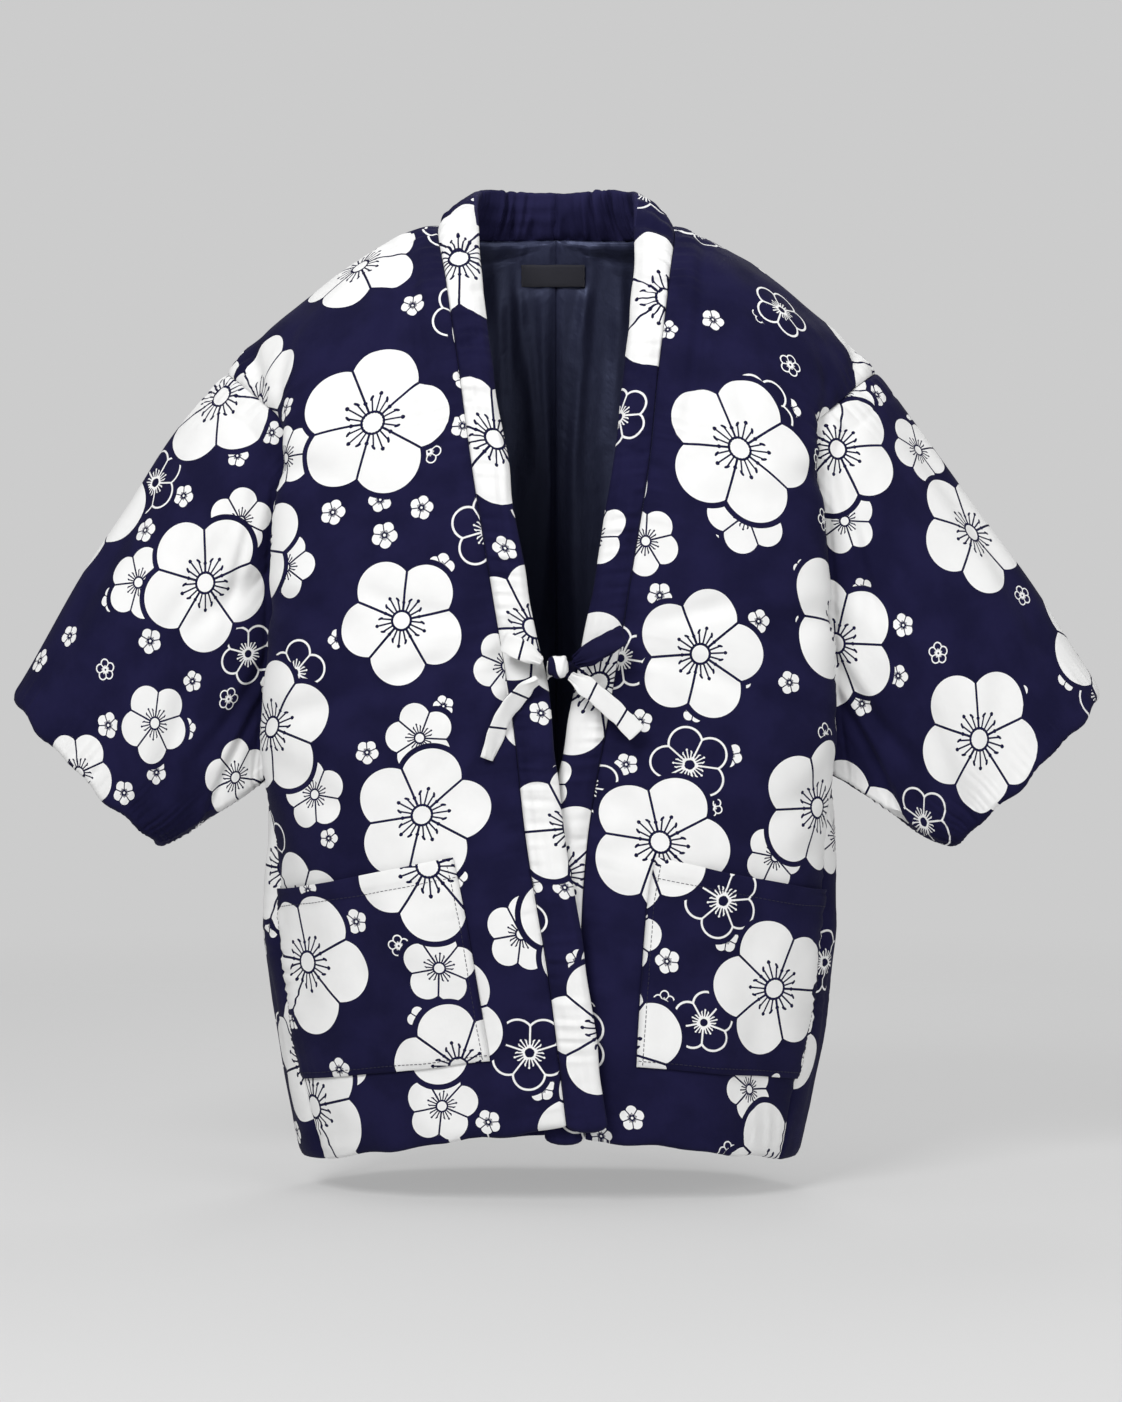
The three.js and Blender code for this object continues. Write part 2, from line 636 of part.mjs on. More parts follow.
/** Back lining: the inner face of the back panel moved inwards. */
function liningGeometry(panelInner, side) {
  const normals = gridNormals(panelInner, side);
  const face = (distance) =>
    makeGrid(HEM_BACK_STEP - SHOULDER_STEP, LINING_COLUMNS, (i, j) => {
      const row = panelInner[SHOULDER_STEP + i];
      const point = row[j].clone().addScaledVector(normals[SHOULDER_STEP + i][j], -distance);
      if (j === 0 && SHOULDER_STEP + i <= NECK_BACK_STEP) {
        point.add(row[1].clone().sub(row[0]).setLength(LINING_CLEARANCE));
      } else if (j === 0) {
        point.x = (side * SEAM_GAP) / 2;
      }
      return point;
    });
  return shellGeometry(face(LAID_ON_GAP), face(LAID_ON_GAP + LINING_THICKNESS));
}

/** Strip of cloth of one width along a path, its width turned from one direction to another. */
function tieGeometry({ path, width: [widthStart, widthEnd] }) {
  const curve = new THREE.CatmullRomCurve3(path.map((point) => new THREE.Vector3(...point)));
  const turnAt = (share) =>
    new THREE.Vector3(...widthStart).lerp(new THREE.Vector3(...widthEnd), share).normalize();
  const face = (direction) =>
    makeGrid(TIE_STEPS, 2, (i, j) => {
      const share = i / TIE_STEPS;
      const width = turnAt(share);
      const facing = width.clone().cross(curve.getTangent(share)).normalize();
      return curve
        .getPoint(share)
        .addScaledVector(width, (j / 2 - 0.5) * TIE_WIDTH)
        .addScaledVector(facing, (direction * TIE_THICKNESS) / 2);
    });
  return shellGeometry(face(1), face(-1));
}

/** Small plate that leans with the lining. */
function makeLabel() {
  const geometry = new THREE.BoxGeometry(LABEL_WIDTH, LABEL_THICKNESS, LABEL_HEIGHT);
  const label = namedMesh("label", geometry, LABEL_CLOTH);
  label.position.copy(LABEL_CENTRE);
  label.rotation.x = LABEL_LEAN;
  return label;
}

function makeKnot() {
  const knot = namedMesh("tie_knot", new THREE.SphereGeometry(1, 12, 8), NAVY);
  knot.scale.copy(KNOT_RADII);
  knot.position.copy(KNOT_CENTRE);
  return knot;
}

const hanten = new THREE.Group();
hanten.add(...makeSide(LEFT, "left"), ...makeSide(RIGHT, "right"), makeLabel(), makeKnot());
hanten.add(...TIE_STRETCHES.map((tie) => namedMesh(tie.name, tieGeometry(tie), NAVY)));

export default hanten;
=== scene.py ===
import bpy
import numpy as np
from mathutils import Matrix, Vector


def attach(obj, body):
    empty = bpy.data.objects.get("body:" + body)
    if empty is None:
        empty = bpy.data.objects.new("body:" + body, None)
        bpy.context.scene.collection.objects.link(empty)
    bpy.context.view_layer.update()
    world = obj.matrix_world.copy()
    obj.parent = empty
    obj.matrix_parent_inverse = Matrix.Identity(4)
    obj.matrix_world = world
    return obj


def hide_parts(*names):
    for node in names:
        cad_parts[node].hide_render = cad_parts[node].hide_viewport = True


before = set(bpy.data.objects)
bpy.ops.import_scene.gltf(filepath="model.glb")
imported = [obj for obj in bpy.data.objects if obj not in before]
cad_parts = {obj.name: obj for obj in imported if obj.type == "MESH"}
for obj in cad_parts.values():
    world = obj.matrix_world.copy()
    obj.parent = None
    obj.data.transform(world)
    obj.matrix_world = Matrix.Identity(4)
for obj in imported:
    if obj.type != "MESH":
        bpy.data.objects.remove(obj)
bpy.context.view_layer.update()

MM = 0.001


# ---------------------------------------------------------------------------
# Camera, floor and light.
# The jacket floats upright, filled out as worn, above a pale floor in soft light from the front.
# Nothing here is part of the jacket.
CAMERA_PLACE = (0.0046, -3.05, -0.429)
LENS = 85
SENSOR_WIDTH = 36
LIGHT_AIM = (0, 0, -0.4)
LIGHTS = {
    # name: place, size in metres, watts
    "light_key": ((-1.2, -2.5, 1.5), 1.2, 82),
    "light_fill": ((1.9, -2.6, 0.5), 1.8, 42),
    "light_top": ((0.0, 0.4, 2.2), 2.8, 22),
    "light_back": ((0.5, 2.4, 2.0), 1.2, 26),
}
BACKDROP = 0.604
SKY_LIGHT = 0.23
FLOOR_HEIGHT = -0.875
FLOOR_RADIUS = 4.2
FLOOR_FADE = (1.1, 3.6)
FLOOR_RINGS = 11
FLOOR_SPOKES = 64

camera_data = bpy.data.cameras.new("camera")
camera_data.lens = LENS
camera_data.sensor_width = SENSOR_WIDTH
camera = bpy.data.objects.new("camera", camera_data)
bpy.context.scene.collection.objects.link(camera)
camera.location = CAMERA_PLACE
camera.rotation_euler = (np.pi / 2, 0, 0)
bpy.context.scene.camera = camera
bpy.context.scene.view_settings.view_transform = "Standard"

for name, (place, size, watts) in LIGHTS.items():
    light = bpy.data.lights.new(name, "AREA")
    light.shape = "SQUARE"
    light.size = size
    light.energy = watts
    lamp = bpy.data.objects.new(name, light)
    lamp.location = place
    lamp.rotation_euler = (Vector(LIGHT_AIM) - Vector(place)).to_track_quat("-Z", "Y").to_euler()
    bpy.context.scene.collection.objects.link(lamp)


def feed(tree, node, **values):
    """Gives a node's inputs numbers, colours or other nodes' outputs, by name with _ for a space."""
    for name, value in values.items():
        socket = node.inputs[name.replace("_", " ")]
        if isinstance(value, bpy.types.NodeSocket):
            tree.links.new(value, socket)
        else:
            socket.default_value = value
    return node.outputs


def add_node(tree, kind, settings=(), **values):
    """A new shader node with pairs of settings and with its inputs fed. Returns its outputs."""
    node = tree.nodes.new("ShaderNode" + kind)
    for name, value in settings:
        setattr(node, name, value)
    return feed(tree, node, **values)


def calc(tree, operation, *values):
    """The result of a Math node on sockets or plain numbers."""
    node = tree.nodes.new("ShaderNodeMath")
    node.operation = operation
    for socket, value in zip(node.inputs, values):
        if isinstance(value, (int, float)):
            socket.default_value = value
        else:
            tree.links.new(value, socket)
    return node.outputs[0]


def remap(tree, value, low, high, start=0.0, end=1.0):
    """value from low to high, turned smoothly into start to end and held at both."""
    smoothly = [("interpolation_type", "SMOOTHSTEP")]
    return add_node(tree, "MapRange", smoothly, Value=value, From_Min=low, From_Max=high,
                    To_Min=start, To_Max=end)["Result"]


def object_place(tree):
    """The point on the piece in the shared frame, in metres."""
    return add_node(tree, "TexCoord")["Object"]


def new_material(name):
    """A node material with its Principled shader: (material, node tree, shader)."""
    material = bpy.data.materials.new(name)
    material.use_nodes = True
    tree = material.node_tree
    return material, tree, tree.nodes["Principled BSDF"]


# The camera sees the backdrop's grey, and the jacket is lit by a dimmer sky.
world = bpy.data.worlds.new("studio")
bpy.context.scene.world = world
world.use_nodes = True
sky = world.node_tree
seen = add_node(sky, "LightPath")["Is Camera Ray"]
strength = add_node(sky, "MapRange", Value=seen, To_Min=SKY_LIGHT, To_Max=BACKDROP)["Result"]
feed(sky, sky.nodes["Background"], Color=(1, 1, 1, 1), Strength=strength)


def make_floor():
    """A flat disc of rings: radius times (cos, sin) of the angle."""
    radii = np.linspace(0.0, FLOOR_RADIUS, FLOOR_RINGS + 1)[1:]
    angles = np.linspace(0, 2 * np.pi, FLOOR_SPOKES, endpoint=False)
    ring = np.stack([np.cos(angles), np.sin(angles), 0 * angles], 1)
    points = np.vstack([[[0, 0, 0]], (radii[:, None, None] * ring).reshape(-1, 3)])
    points[:, 2] += FLOOR_HEIGHT
    k = np.arange(FLOOR_SPOKES)
    after = (k + 1) % FLOOR_SPOKES
    faces = np.stack([0 * k, 1 + k, 1 + after], 1).tolist()
    for r in range(FLOOR_RINGS - 1):
        near = 1 + FLOOR_SPOKES * r
        away = near + FLOOR_SPOKES
        faces += np.stack([near + k, away + k, away + after, near + after], 1).tolist()
    mesh = bpy.data.meshes.new("floor")
    mesh.from_pydata(points.tolist(), [], faces)
    floor = bpy.data.objects.new("floor", mesh)
    bpy.context.scene.collection.objects.link(floor)
    return floor


floor = make_floor()
floor_paper, tree, shader = new_material("floor_paper")
from_middle = add_node(tree, "VectorMath", [("operation", "LENGTH")], Vector=object_place(tree))["Value"]
feed(tree, shader, Base_Color=(0.30, 0.30, 0.30, 1), Roughness=0.9, Specular_IOR_Level=0.1,
     Emission_Color=(1, 1, 1, 1), Emission_Strength=0.36,
     Alpha=remap(tree, from_middle, *FLOOR_FADE, 1.0, 0.0))
floor.data.materials.append(floor_paper)


# ---------------------------------------------------------------------------
# Body panels.
# Each is one straight width of printed cotton, wadded and lined with satin, that runs from the
# front hem over the shoulder to the back hem. The two meet in the centre back seam.
ROW_UNDERARM = 3
ROW_SHOULDER = 8
ROW_NECK_BACK = 10
ROW_HEM_BACK = 16
STEPS = 28
PANEL_COLUMNS = 64
GUSSET_COLUMNS = 22
SLEEVE_STEPS = 84

COLLAR_ROWS = MM * np.array([
    # seamX edgeX skew lap hitch seamY seamZ edgeY edgeZ
    [8.5, -27.5, 17.5, 9, 7, -132, -808, -132, -808],  # front hem
    [14, -21, 7.5, 9, 2, -134, -676, -134, -676],  # thigh
    [27, -8, 1, 9, 0, -134, -554, -134, -554],  # pocket mouth
    [43, 8, 4, 6, 0, -131, -440, -131, -441],  # ties
    [61, 28, 4, 1, 0, -127, -330, -125, -332],  # ribs
    [78, 45, 4, 0, 0, -118, -225, -114, -229],  # chest
    [89, 58, 2.5, 0, 0, -98, -135, -92, -137],  # upper chest
    [101, 68, 1.5, 0, 0, -58, -50, -50, -46],  # front of the shoulder
    [107, 72, 0, 0, 0, -2, 5, 4, 30],  # side of the neck
    [80, 62, 0, 0, 0, 62, 4, 46, 48],  # back of the neck
    [0, 0, 0, 0, 0, 88, 7, 71, 50],  # centre back
])
BACK_SEAM_ROWS = MM * np.array([
    # y z
    [122, -140],  # shoulder blades
    [133, -280],
    [137, -420],
    [137, -570],
    [135, -705],
    [132, -842],  # hem
])
PANEL_ROWS = MM * np.array([
    # cornerX cornerY cornerZ edgeX edgeY edgeZ
    [150, -138, -822, 207, -52, -842],  # front hem
    [176, -142, -698, 236, -46, -702],  # thigh
    [205, -144, -592, 246, -40, -600],  # pocket mouth
    [296, -132, -476, 250, -28, -488],  # underarm, front
    [296, -130, -372, 243, -45, -390],  # ribs
    [284, -126, -268, 238, -60, -290],  # chest
    [258, -116, -172, 234, -75, -195],  # front of the armhole
    [222, -82, -62, 268, -50, -153],  # front of the shoulder
    [198, 0, -20, 298, 0, -128],  # shoulder
    [224, 88, -58, 272, 50, -150],  # back of the shoulder
    [190, 134, -80, 252, 75, -195],  # back yoke
    [268, 138, -222, 246, 62, -290],  # shoulder blade
    [292, 136, -342, 247, 46, -390],  # back ribs
    [292, 136, -464, 250, 28, -488],  # underarm, back
    [205, 148, -590, 246, 40, -600],  # waist
    [176, 147, -704, 236, 46, -706],  # hip
    [150, 144, -848, 207, 52, -846],  # back hem
])
PANEL_SKEW = -5 * MM
STAND_OFF = 2.5 * MM
AIM_AT_CENTRE = 0.6
AIM_AT_SIDE = 0.7
SIDES = {"left": -1, "right": 1}


def unit(vectors):
    """Vectors over their own lengths."""
    return vectors / np.linalg.norm(vectors, axis=-1, keepdims=True)


def row_curve(points):
    """Catmull-Rom curve through a table's rows, each a point, read by counting rows from 0.

    Between rows b and c, with neighbours a and d, it is half of
    2b + t(c - a) + t^2 (2a - 5b + 4c - d) + t^3 (3b - 3c + d - a). The ends go straight on."""
    points = np.asarray(points, float)
    rows = np.vstack([2 * points[0] - points[1], points, 2 * points[-1] - points[-2]])

    def at(row):
        """Points at one row or an array of rows."""
        row = np.asarray(row, float)
        i = np.clip(np.floor(row).astype(int), 0, len(points) - 2)
        t = (row - i)[..., None]
        a, b, c, d = (rows[i + k] for k in range(4))
        return b + 0.5 * t * (c - a + t * (2 * a - 5 * b + 4 * c - d + t * (3 * (b - c) + d - a)))

    return at


def collar_lines(side):
    """Curves of the collar's seam and free edge, carried past the centre back by a mirrored row."""
    x_seam, x_edge, skew, lap, hitch, y_seam, z_seam, y_edge, z_edge = COLLAR_ROWS.T
    seam = np.stack([side * x_seam + skew, y_seam + side * lap, z_seam - side * hitch], 1)
    edge = np.stack([side * x_edge + skew, y_edge + side * lap, z_edge - side * hitch], 1)
    past_centre = [line[ROW_NECK_BACK - 1] * np.array([-1, 1, 1]) for line in (seam, edge)]
    return row_curve(np.vstack([seam, past_centre[0]])), row_curve(np.vstack([edge, past_centre[1]]))


def collar_frame(side, rows):
    """Seam, free edge, direction across the band and direction out of it, at each row.

    Across is the unit vector from seam to edge, and outward is across times the seam's tangent."""
    seam, edge = collar_lines(side)
    across = unit(edge(rows) - seam(rows))
    start = np.maximum(rows, 0.02)
    along = unit(seam(start + 0.02) - seam(start - 0.02))
    return seam(rows), edge(rows), across, -side * unit(np.cross(across, along))


def side_place(side, xyz):
    """Table columns x y z of one side, as points: x times the side, plus the skew."""
    return xyz * np.array([side, 1, 1]) + np.array([PANEL_SKEW, 0, 0])


def bezier(start, first_aim, second_aim, end, t):
    """Cubic Bezier point at t, for whole arrays."""
    s = 1 - t
    return s ** 3 * start + 3 * s * s * t * first_aim + 3 * s * t * t * second_aim + t ** 3 * end


def panel_edge(side, rows):
    """Side edge of a body panel at its rows."""
    return row_curve(side_place(side, PANEL_ROWS[:, 3:]))(rows)


def panel_face(side, rows, shares):
    """Body panel: a Bezier section from the centre edge to the side edge at every row.

    Its handles lie AIM_AT_CENTRE and AIM_AT_SIDE of the way from the two ends to the row's
    corner point. Up to the back of the neck the centre edge stands off the collar's seam, and
    past it the edge follows the back seam."""
    seam, _, _, outward = collar_frame(side, np.minimum(rows, ROW_NECK_BACK))
    at_collar = seam + outward * STAND_OFF
    top = collar_frame(side, np.array([float(ROW_NECK_BACK)]))
    back_top = (top[0] + top[3] * STAND_OFF)[0]
    back_rows = np.insert(BACK_SEAM_ROWS, 0, 0.0, axis=1)
    back_seam = row_curve(np.vstack([back_top, back_rows]))(np.maximum(rows - ROW_NECK_BACK, 0))
    centre = np.where((rows <= ROW_NECK_BACK)[:, None], at_collar, back_seam)[:, None]
    corner = row_curve(side_place(side, PANEL_ROWS[:, :3]))(rows)[:, None]
    edge = panel_edge(side, rows)[:, None]
    first = centre + AIM_AT_CENTRE * (corner - centre)
    second = edge + AIM_AT_SIDE * (corner - edge)
    return bezier(centre, first, second, edge, shares[None, :, None])


def close_set(count):
    """Shares from 0 to 1, closer together near both ends: x - 0.75 sin(2 pi x) / (2 pi)."""
    x = np.linspace(0, 1, count + 1)
    return x - 0.75 * np.sin(2 * np.pi * x) / (2 * np.pi)


# Gusset and sleeve faces start here too, because the pieces share their seams with the panels.
GUSSET_REACH = MM * np.array([228, 255, 262, 254])
CUFF_TOP = MM * np.array([499, 0, -424])
CUFF_BOTTOM = MM * np.array([361, 0, -562])
CUFF_HALF_DEPTH = 60 * MM
UNDERARM_SHARE = 0.1


def gusset_face(side, rows, shares):
    """Gusset: straight across from the front edge to the back edge, then bowed out to its reach
    by 1 - (2 share - 1)^2."""
    front = panel_edge(side, rows)[:, None]
    back = panel_edge(side, ROW_HEM_BACK - rows)[:, None]
    share = shares[None, :, None]
    points = front + (back - front) * share
    reach = side * row_curve(GUSSET_REACH[:, None])(rows)[:, None, 0] + PANEL_SKEW
    points[..., 0] += (reach - front[..., 0]) * (1 - (2 * share[..., 0] - 1) ** 2)
    return points


def sleeve_face(side, ring, ring_shares, shares):
    """Sleeve: Bezier lines from each point of the armhole to the cuff's oval, their handles
    pushed out 8 mm on top and 3 mm underneath. The oval is centre + up cos(angle) - depth
    sin(angle)."""
    top = CUFF_TOP * np.array([side, 1, 1])
    bottom = CUFF_BOTTOM * np.array([side, 1, 1])
    angle = 2 * np.pi * ring_shares[:, None]
    radial = (top - bottom) / 2 * np.cos(angle) - np.array([0, CUFF_HALF_DEPTH, 0]) * np.sin(angle)
    cuff = (top + bottom) / 2 + radial
    swell = unit(radial) * MM * (8 - 5 * (1 - np.cos(angle)) / 2)
    first = ring + (cuff - ring) / 3 + swell
    second = cuff + (ring - cuff) / 3 + swell
    return bezier(ring[None], first[None], second[None], cuff[None], shares[:, None, None])


def face_normals(grid, sign, closed_round=False):
    """Unit cross product of the column and row directions, times the sign."""
    if closed_round:
        wrapped = np.concatenate([grid[:, -2:-1], grid, grid[:, 1:2]], axis=1)
        across = (wrapped[:, 2:] - wrapped[:, :-2]) / 2
    else:
        across = np.gradient(grid, axis=1)
    return sign * unit(np.cross(across, np.gradient(grid, axis=0)))


def side_faces(side):
    """Base faces of one side's panel, gusset and sleeve, with the inward directions at their seams."""
    rows = np.arange(ROW_HEM_BACK * STEPS + 1) / STEPS
    panel = panel_face(side, rows, close_set(PANEL_COLUMNS))
    under = ROW_UNDERARM * STEPS
    gusset_shares = close_set(GUSSET_COLUMNS)
    gusset = gusset_face(side, ROW_UNDERARM - rows[:under + 1], gusset_shares)
    half = (ROW_SHOULDER - ROW_UNDERARM) * STEPS
    half_shares = np.arange(half + 1) / half * (0.5 - UNDERARM_SHARE / 2)
    front = panel_edge(side, ROW_SHOULDER - np.arange(half) / STEPS)
    back = panel_edge(side, ROW_HEM_BACK - ROW_UNDERARM - np.arange(half + 1) / STEPS)
    ring = np.vstack([front, gusset[0, :-1], back])
    under_shares = 0.5 + UNDERARM_SHARE * (gusset_shares[:-1] - 0.5)
    ring_shares = np.concatenate([half_shares[:-1], under_shares, 0.5 + UNDERARM_SHARE / 2 + half_shares])
    along = np.linspace(0, 1, SLEEVE_STEPS + 1)
    along = along - 0.5 * np.sin(2 * np.pi * along) / (2 * np.pi)
    sleeve = sleeve_face(side, ring, ring_shares, along)
    normals = {
        "panel": face_normals(panel, side),
        "gusset": face_normals(gusset, -side),
        "sleeve": face_normals(sleeve, side, closed_round=True),
    }
    back_under = (ROW_HEM_BACK - ROW_UNDERARM) * STEPS
    shoulder = ROW_SHOULDER * STEPS
    meeting = -normals["panel"][:, -1]
    i = np.arange(len(rows))
    round_count = len(ring) - 1
    ring_index = np.where(i <= shoulder, shoulder - i, round_count - (i - shoulder))
    by_sleeve = (i >= under) & (i <= back_under)
    meeting[by_sleeve] -= normals["sleeve"][0][ring_index[by_sleeve]]
    meeting[:under + 1] -= normals["gusset"][::-1, 0]
    meeting[back_under:] -= normals["gusset"][:, -1]
    side_in = unit(meeting)
    under_in = -normals["gusset"][0] - normals["sleeve"][0][half:half + GUSSET_COLUMNS + 1]
    under_in[0] = side_in[under]
    under_in[-1] = side_in[back_under]
    under_in = unit(under_in)
    front_in = side_in[under:shoulder + 1][::-1]
    ring_in = np.vstack([front_in, under_in[1:-1], side_in[shoulder:back_under + 1][::-1]])
    return {
        "rows": rows, "panel": panel, "gusset": gusset, "sleeve": sleeve, "normals": normals,
        "side_in": side_in, "under_in": under_in, "ring_in": ring_in, "ring_shares": ring_shares,
    }


def run_lengths(grid, axis):
    """Length along a grid's lines from their first point, in metres."""
    steps = np.linalg.norm(np.diff(grid, axis=axis), axis=-1)
    start = np.zeros_like(np.take(steps, [0], axis=axis))
    return np.concatenate([start, np.cumsum(steps, axis=axis)], axis=axis)


def pillow(distance, width):
    """Quarter circle: 0 at a seam, 1 from the width on."""
    near = 1 - np.clip(distance / width, 0, 1)
    return np.sqrt(1 - near ** 2)


def smooth(distance, width):
    """Smooth step from 0 to 1 over the width."""
    t = np.clip(distance / width, 0, 1)
    return t * t * (3 - 2 * t)


def gathers(along, distance, seed, height=1.1, reach=9.0, pitch=12.0):
    """Fine puckers square to a seam: a sine along it whose pitch and strength wander, times
    (d / reach) exp(1 - d / reach) away from it. Lengths in mm, result in metres."""
    a = along / MM
    d = distance / MM
    p = np.random.default_rng(seed).uniform(0, 2 * np.pi, 6)
    wander = 1.9 * np.sin(a / 23 + p[0]) + 1.3 * np.sin(a / 9.1 + p[1])
    strength = 0.55 + 0.3 * np.sin(a / 31 + p[2]) + 0.25 * np.sin(a / 11.7 + p[3])
    wave = np.sin(2 * np.pi * a / pitch + wander)
    wave = wave + 0.5 * np.sin(2 * np.pi * a / (pitch * 0.57) + 1.3 * wander + p[4])
    longer = reach * (1 + 0.45 * np.sin(a / 17 + p[5]))
    return height * MM * wave * strength * (d / longer) * np.exp(1 - d / longer)


def billow(s, t, seed, height=2.0, longest=240.0, shortest=70.0, count=9):
    """Broad unevenness of wadded cloth: a sum of sines in random directions, in metres."""
    random = np.random.default_rng(seed)
    total = np.zeros_like(s)
    for _ in range(count):
        length = MM * random.uniform(shortest, longest)
        turn, phase = random.uniform(0, 2 * np.pi, 2)
        forward = s * np.cos(turn) + t * np.sin(turn)
        total += (length / (MM * longest)) * np.sin(2 * np.pi * forward / length + phase)
    return height * MM * total / np.sqrt(count / 2)


def creases(s, t, table):
    """Soft folds, listed one by one. Each row of the table, in mm, is
    s0 t0 s1 t1 (its ends), half width, height (a trough if negative) and bend.
    Across it is (1 - 0.7 h^2) exp(-h^2), and along it 4 q (1 - q) to the power 0.8."""
    total = np.zeros_like(s)
    s, t = s / MM, t / MM
    for s0, t0, s1, t1, width, height, bend in table:
        length = np.hypot(s1 - s0, t1 - t0)
        ds, dt = (s1 - s0) / length, (t1 - t0) / length
        q = np.clip(((s - s0) * ds + (t - t0) * dt) / length, 0, 1)
        arch = 4 * q * (1 - q)
        h = ((s - s0) * dt - (t - t0) * ds - bend * arch) / width
        total += height * MM * arch ** 0.8 * (1 - 0.7 * h * h) * np.exp(-h * h)
    return total


def build_mesh(name, points, faces, face_slots, corner_uv, materials):
    """A smooth mesh object from arrays, its faces turned outwards by the sign of its volume."""
    a, b, c, d = (points[faces[:, k]] for k in range(4))
    halves = (np.cross(b, c), np.cross(c, d))
    volume = sum(np.einsum("ij,ij->i", a, half).sum() for half in halves)
    if volume < 0:
        faces = faces[:, ::-1]
        corner_uv = corner_uv[:, ::-1]
    mesh = bpy.data.meshes.new(name)
    mesh.vertices.add(len(points))
    mesh.vertices.foreach_set("co", points.astype(np.float32).ravel())
    mesh.loops.add(faces.size)
    mesh.loops.foreach_set("vertex_index", faces.astype(np.int32).ravel())
    mesh.polygons.add(len(faces))
    mesh.polygons.foreach_set("loop_start", np.arange(0, faces.size, 4, dtype=np.int32))
    mesh.polygons.foreach_set("material_index", face_slots.astype(np.int32))
    mesh.update(calc_edges=True)
    mesh.shade_smooth()
    mesh.uv_layers.new(name="cloth").data.foreach_set("uv", corner_uv.astype(np.float32).ravel())
    mesh.validate()
    piece = bpy.data.objects.new(name, mesh)
    for material in materials:
        mesh.materials.append(material)
    bpy.context.scene.collection.objects.link(piece)
    return piece


RIM_STEPS = 4
TURN_IN = 5


def rim(outer, inner, before, steps):
    """Half circle of rows from an outer to an inner edge row, bulging along the cloth."""
    centre = (outer + inner) / 2
    half = (outer - inner) / 2
    forward = unit(outer - before) * np.linalg.norm(half, axis=-1, keepdims=True)
    angle = (np.arange(1, steps + 1) * np.pi / (steps + 1))[:, None, None]
    return centre + half * np.cos(angle) + forward * np.sin(angle)


def shell(name, outer, inner, uv, materials, round_start=False, round_end=False, closed_round=False):
    """Closed piece of cloth between two grids. Rounded ends get a half-circle rim.

    The rows run out along the outer face, round the end, back along the inner face and round
    the start. The inner side takes the last material, from TURN_IN rows past a rounded end,
    where the outer cloth is turned in."""
    count = len(outer)
    steps = RIM_STEPS if (round_start or round_end) else 0
    straight = (np.arange(1, steps + 1) / (steps + 1))[:, None, None]
    parts = [outer]
    if steps:
        end = rim(outer[-1], inner[-1], outer[-2], steps)
        parts.append(end if round_end else outer[-1] + (inner[-1] - outer[-1]) * straight)
    parts.append(inner[::-1])
    if steps:
        start = rim(outer[0], inner[0], outer[1], steps)[::-1]
        parts.append(start if round_start else inner[0] + (outer[0] - inner[0]) * straight)
    rows = np.concatenate(parts)
    uv_parts = [uv, np.repeat(uv[-1:], steps, 0), uv[::-1], np.repeat(uv[:1], steps, 0)]
    uv_rows = np.concatenate(uv_parts)
    total, columns = rows.shape[:2]
    cells = columns - 1
    points = rows[:, :cells] if closed_round else rows
    stride = points.shape[1]
    i, j = (x.ravel() for x in np.meshgrid(np.arange(total), np.arange(cells), indexing="ij"))
    corners = [(i, j), (i, j + 1), ((i + 1) % total, j + 1), ((i + 1) % total, j)]
    faces = np.stack([a * stride + b % stride for a, b in corners], 1)
    corner_uv = np.stack([uv_rows[a, b] for a, b in corners], 1)
    if closed_round:
        cut = np.ptp(corner_uv[..., 1], axis=1) > 0.1
        corner_uv[cut, :, 1] = corner_uv[cut, :, 1].max(axis=1, keepdims=True)
    lined = (i >= count + steps + TURN_IN * round_end) & (i < total - steps - TURN_IN * round_start)
    slots = np.where(lined, len(materials) - 1, 0)
    if not closed_round:
        k = np.arange(-steps // 2, count - 1 + steps // 2)
        pair = (2 * count + steps - 1 - k) % total
        pair_after = (2 * count + steps - 2 - k) % total
        for column, turn in ((0, 1), (cells, -1)):
            ends = [k % total, (k + 1) % total, pair_after, pair][::turn]
            caps = np.stack([a * stride + column for a in ends], 1)
            faces = np.vstack([faces, caps[:, ::-1]])
            cap_uv = np.stack([uv_rows[a, column] for a in ends], 1)
            corner_uv = np.vstack([corner_uv, cap_uv[:, ::-1]])
            slots = np.concatenate([slots, np.zeros(len(k), int)])
    return build_mesh(name, points.reshape(-1, 3), faces, slots, corner_uv, materials)


# Printed cotton. The print is a plain one of plum blossoms, white on navy, in three sizes that
# are scattered over the bolt, with navy lines between the petals.
BLOSSOMS = [
    # cell, radius, jitter, share of cells, share outlined, line width, seed; the front layer first
    (0.158, 0.073, 0.07, 0.80, 0.00, 0.0011, 3.0),
    (0.099, 0.036, 0.20, 0.62, 0.45, 0.0008, 11.0),
    (0.047, 0.012, 0.40, 0.50, 0.20, 0.0005, 23.0),
]
BLOSSOM_CLEARANCE = 5 * MM
PRINT_TURN = 0.42
HALF_PETAL = np.radians(36)
HALF_THREAD = np.radians(9)
THREAD_PITCH = 0.7 * MM
NAVY = (0.0068, 0.0062, 0.029)
NAVY_WORN = (0.0100, 0.0090, 0.040)
# Painted light: the two neck navies are a lighter copy of the navy for the inside of the back collar, where
# the collar's own sides shade it.
PAINTED_LIGHT_NECK_NAVY = (0.0115, 0.0108, 0.043)
PAINTED_LIGHT_NECK_NAVY_WORN = (0.0165, 0.0152, 0.057)
WHITE = (0.80, 0.80, 0.795)
WHITE_SHADE = (0.765, 0.765, 0.76)
SATIN = (0.0155, 0.0174, 0.0367)
SATIN_LIGHT = (0.0254, 0.0282, 0.0602)


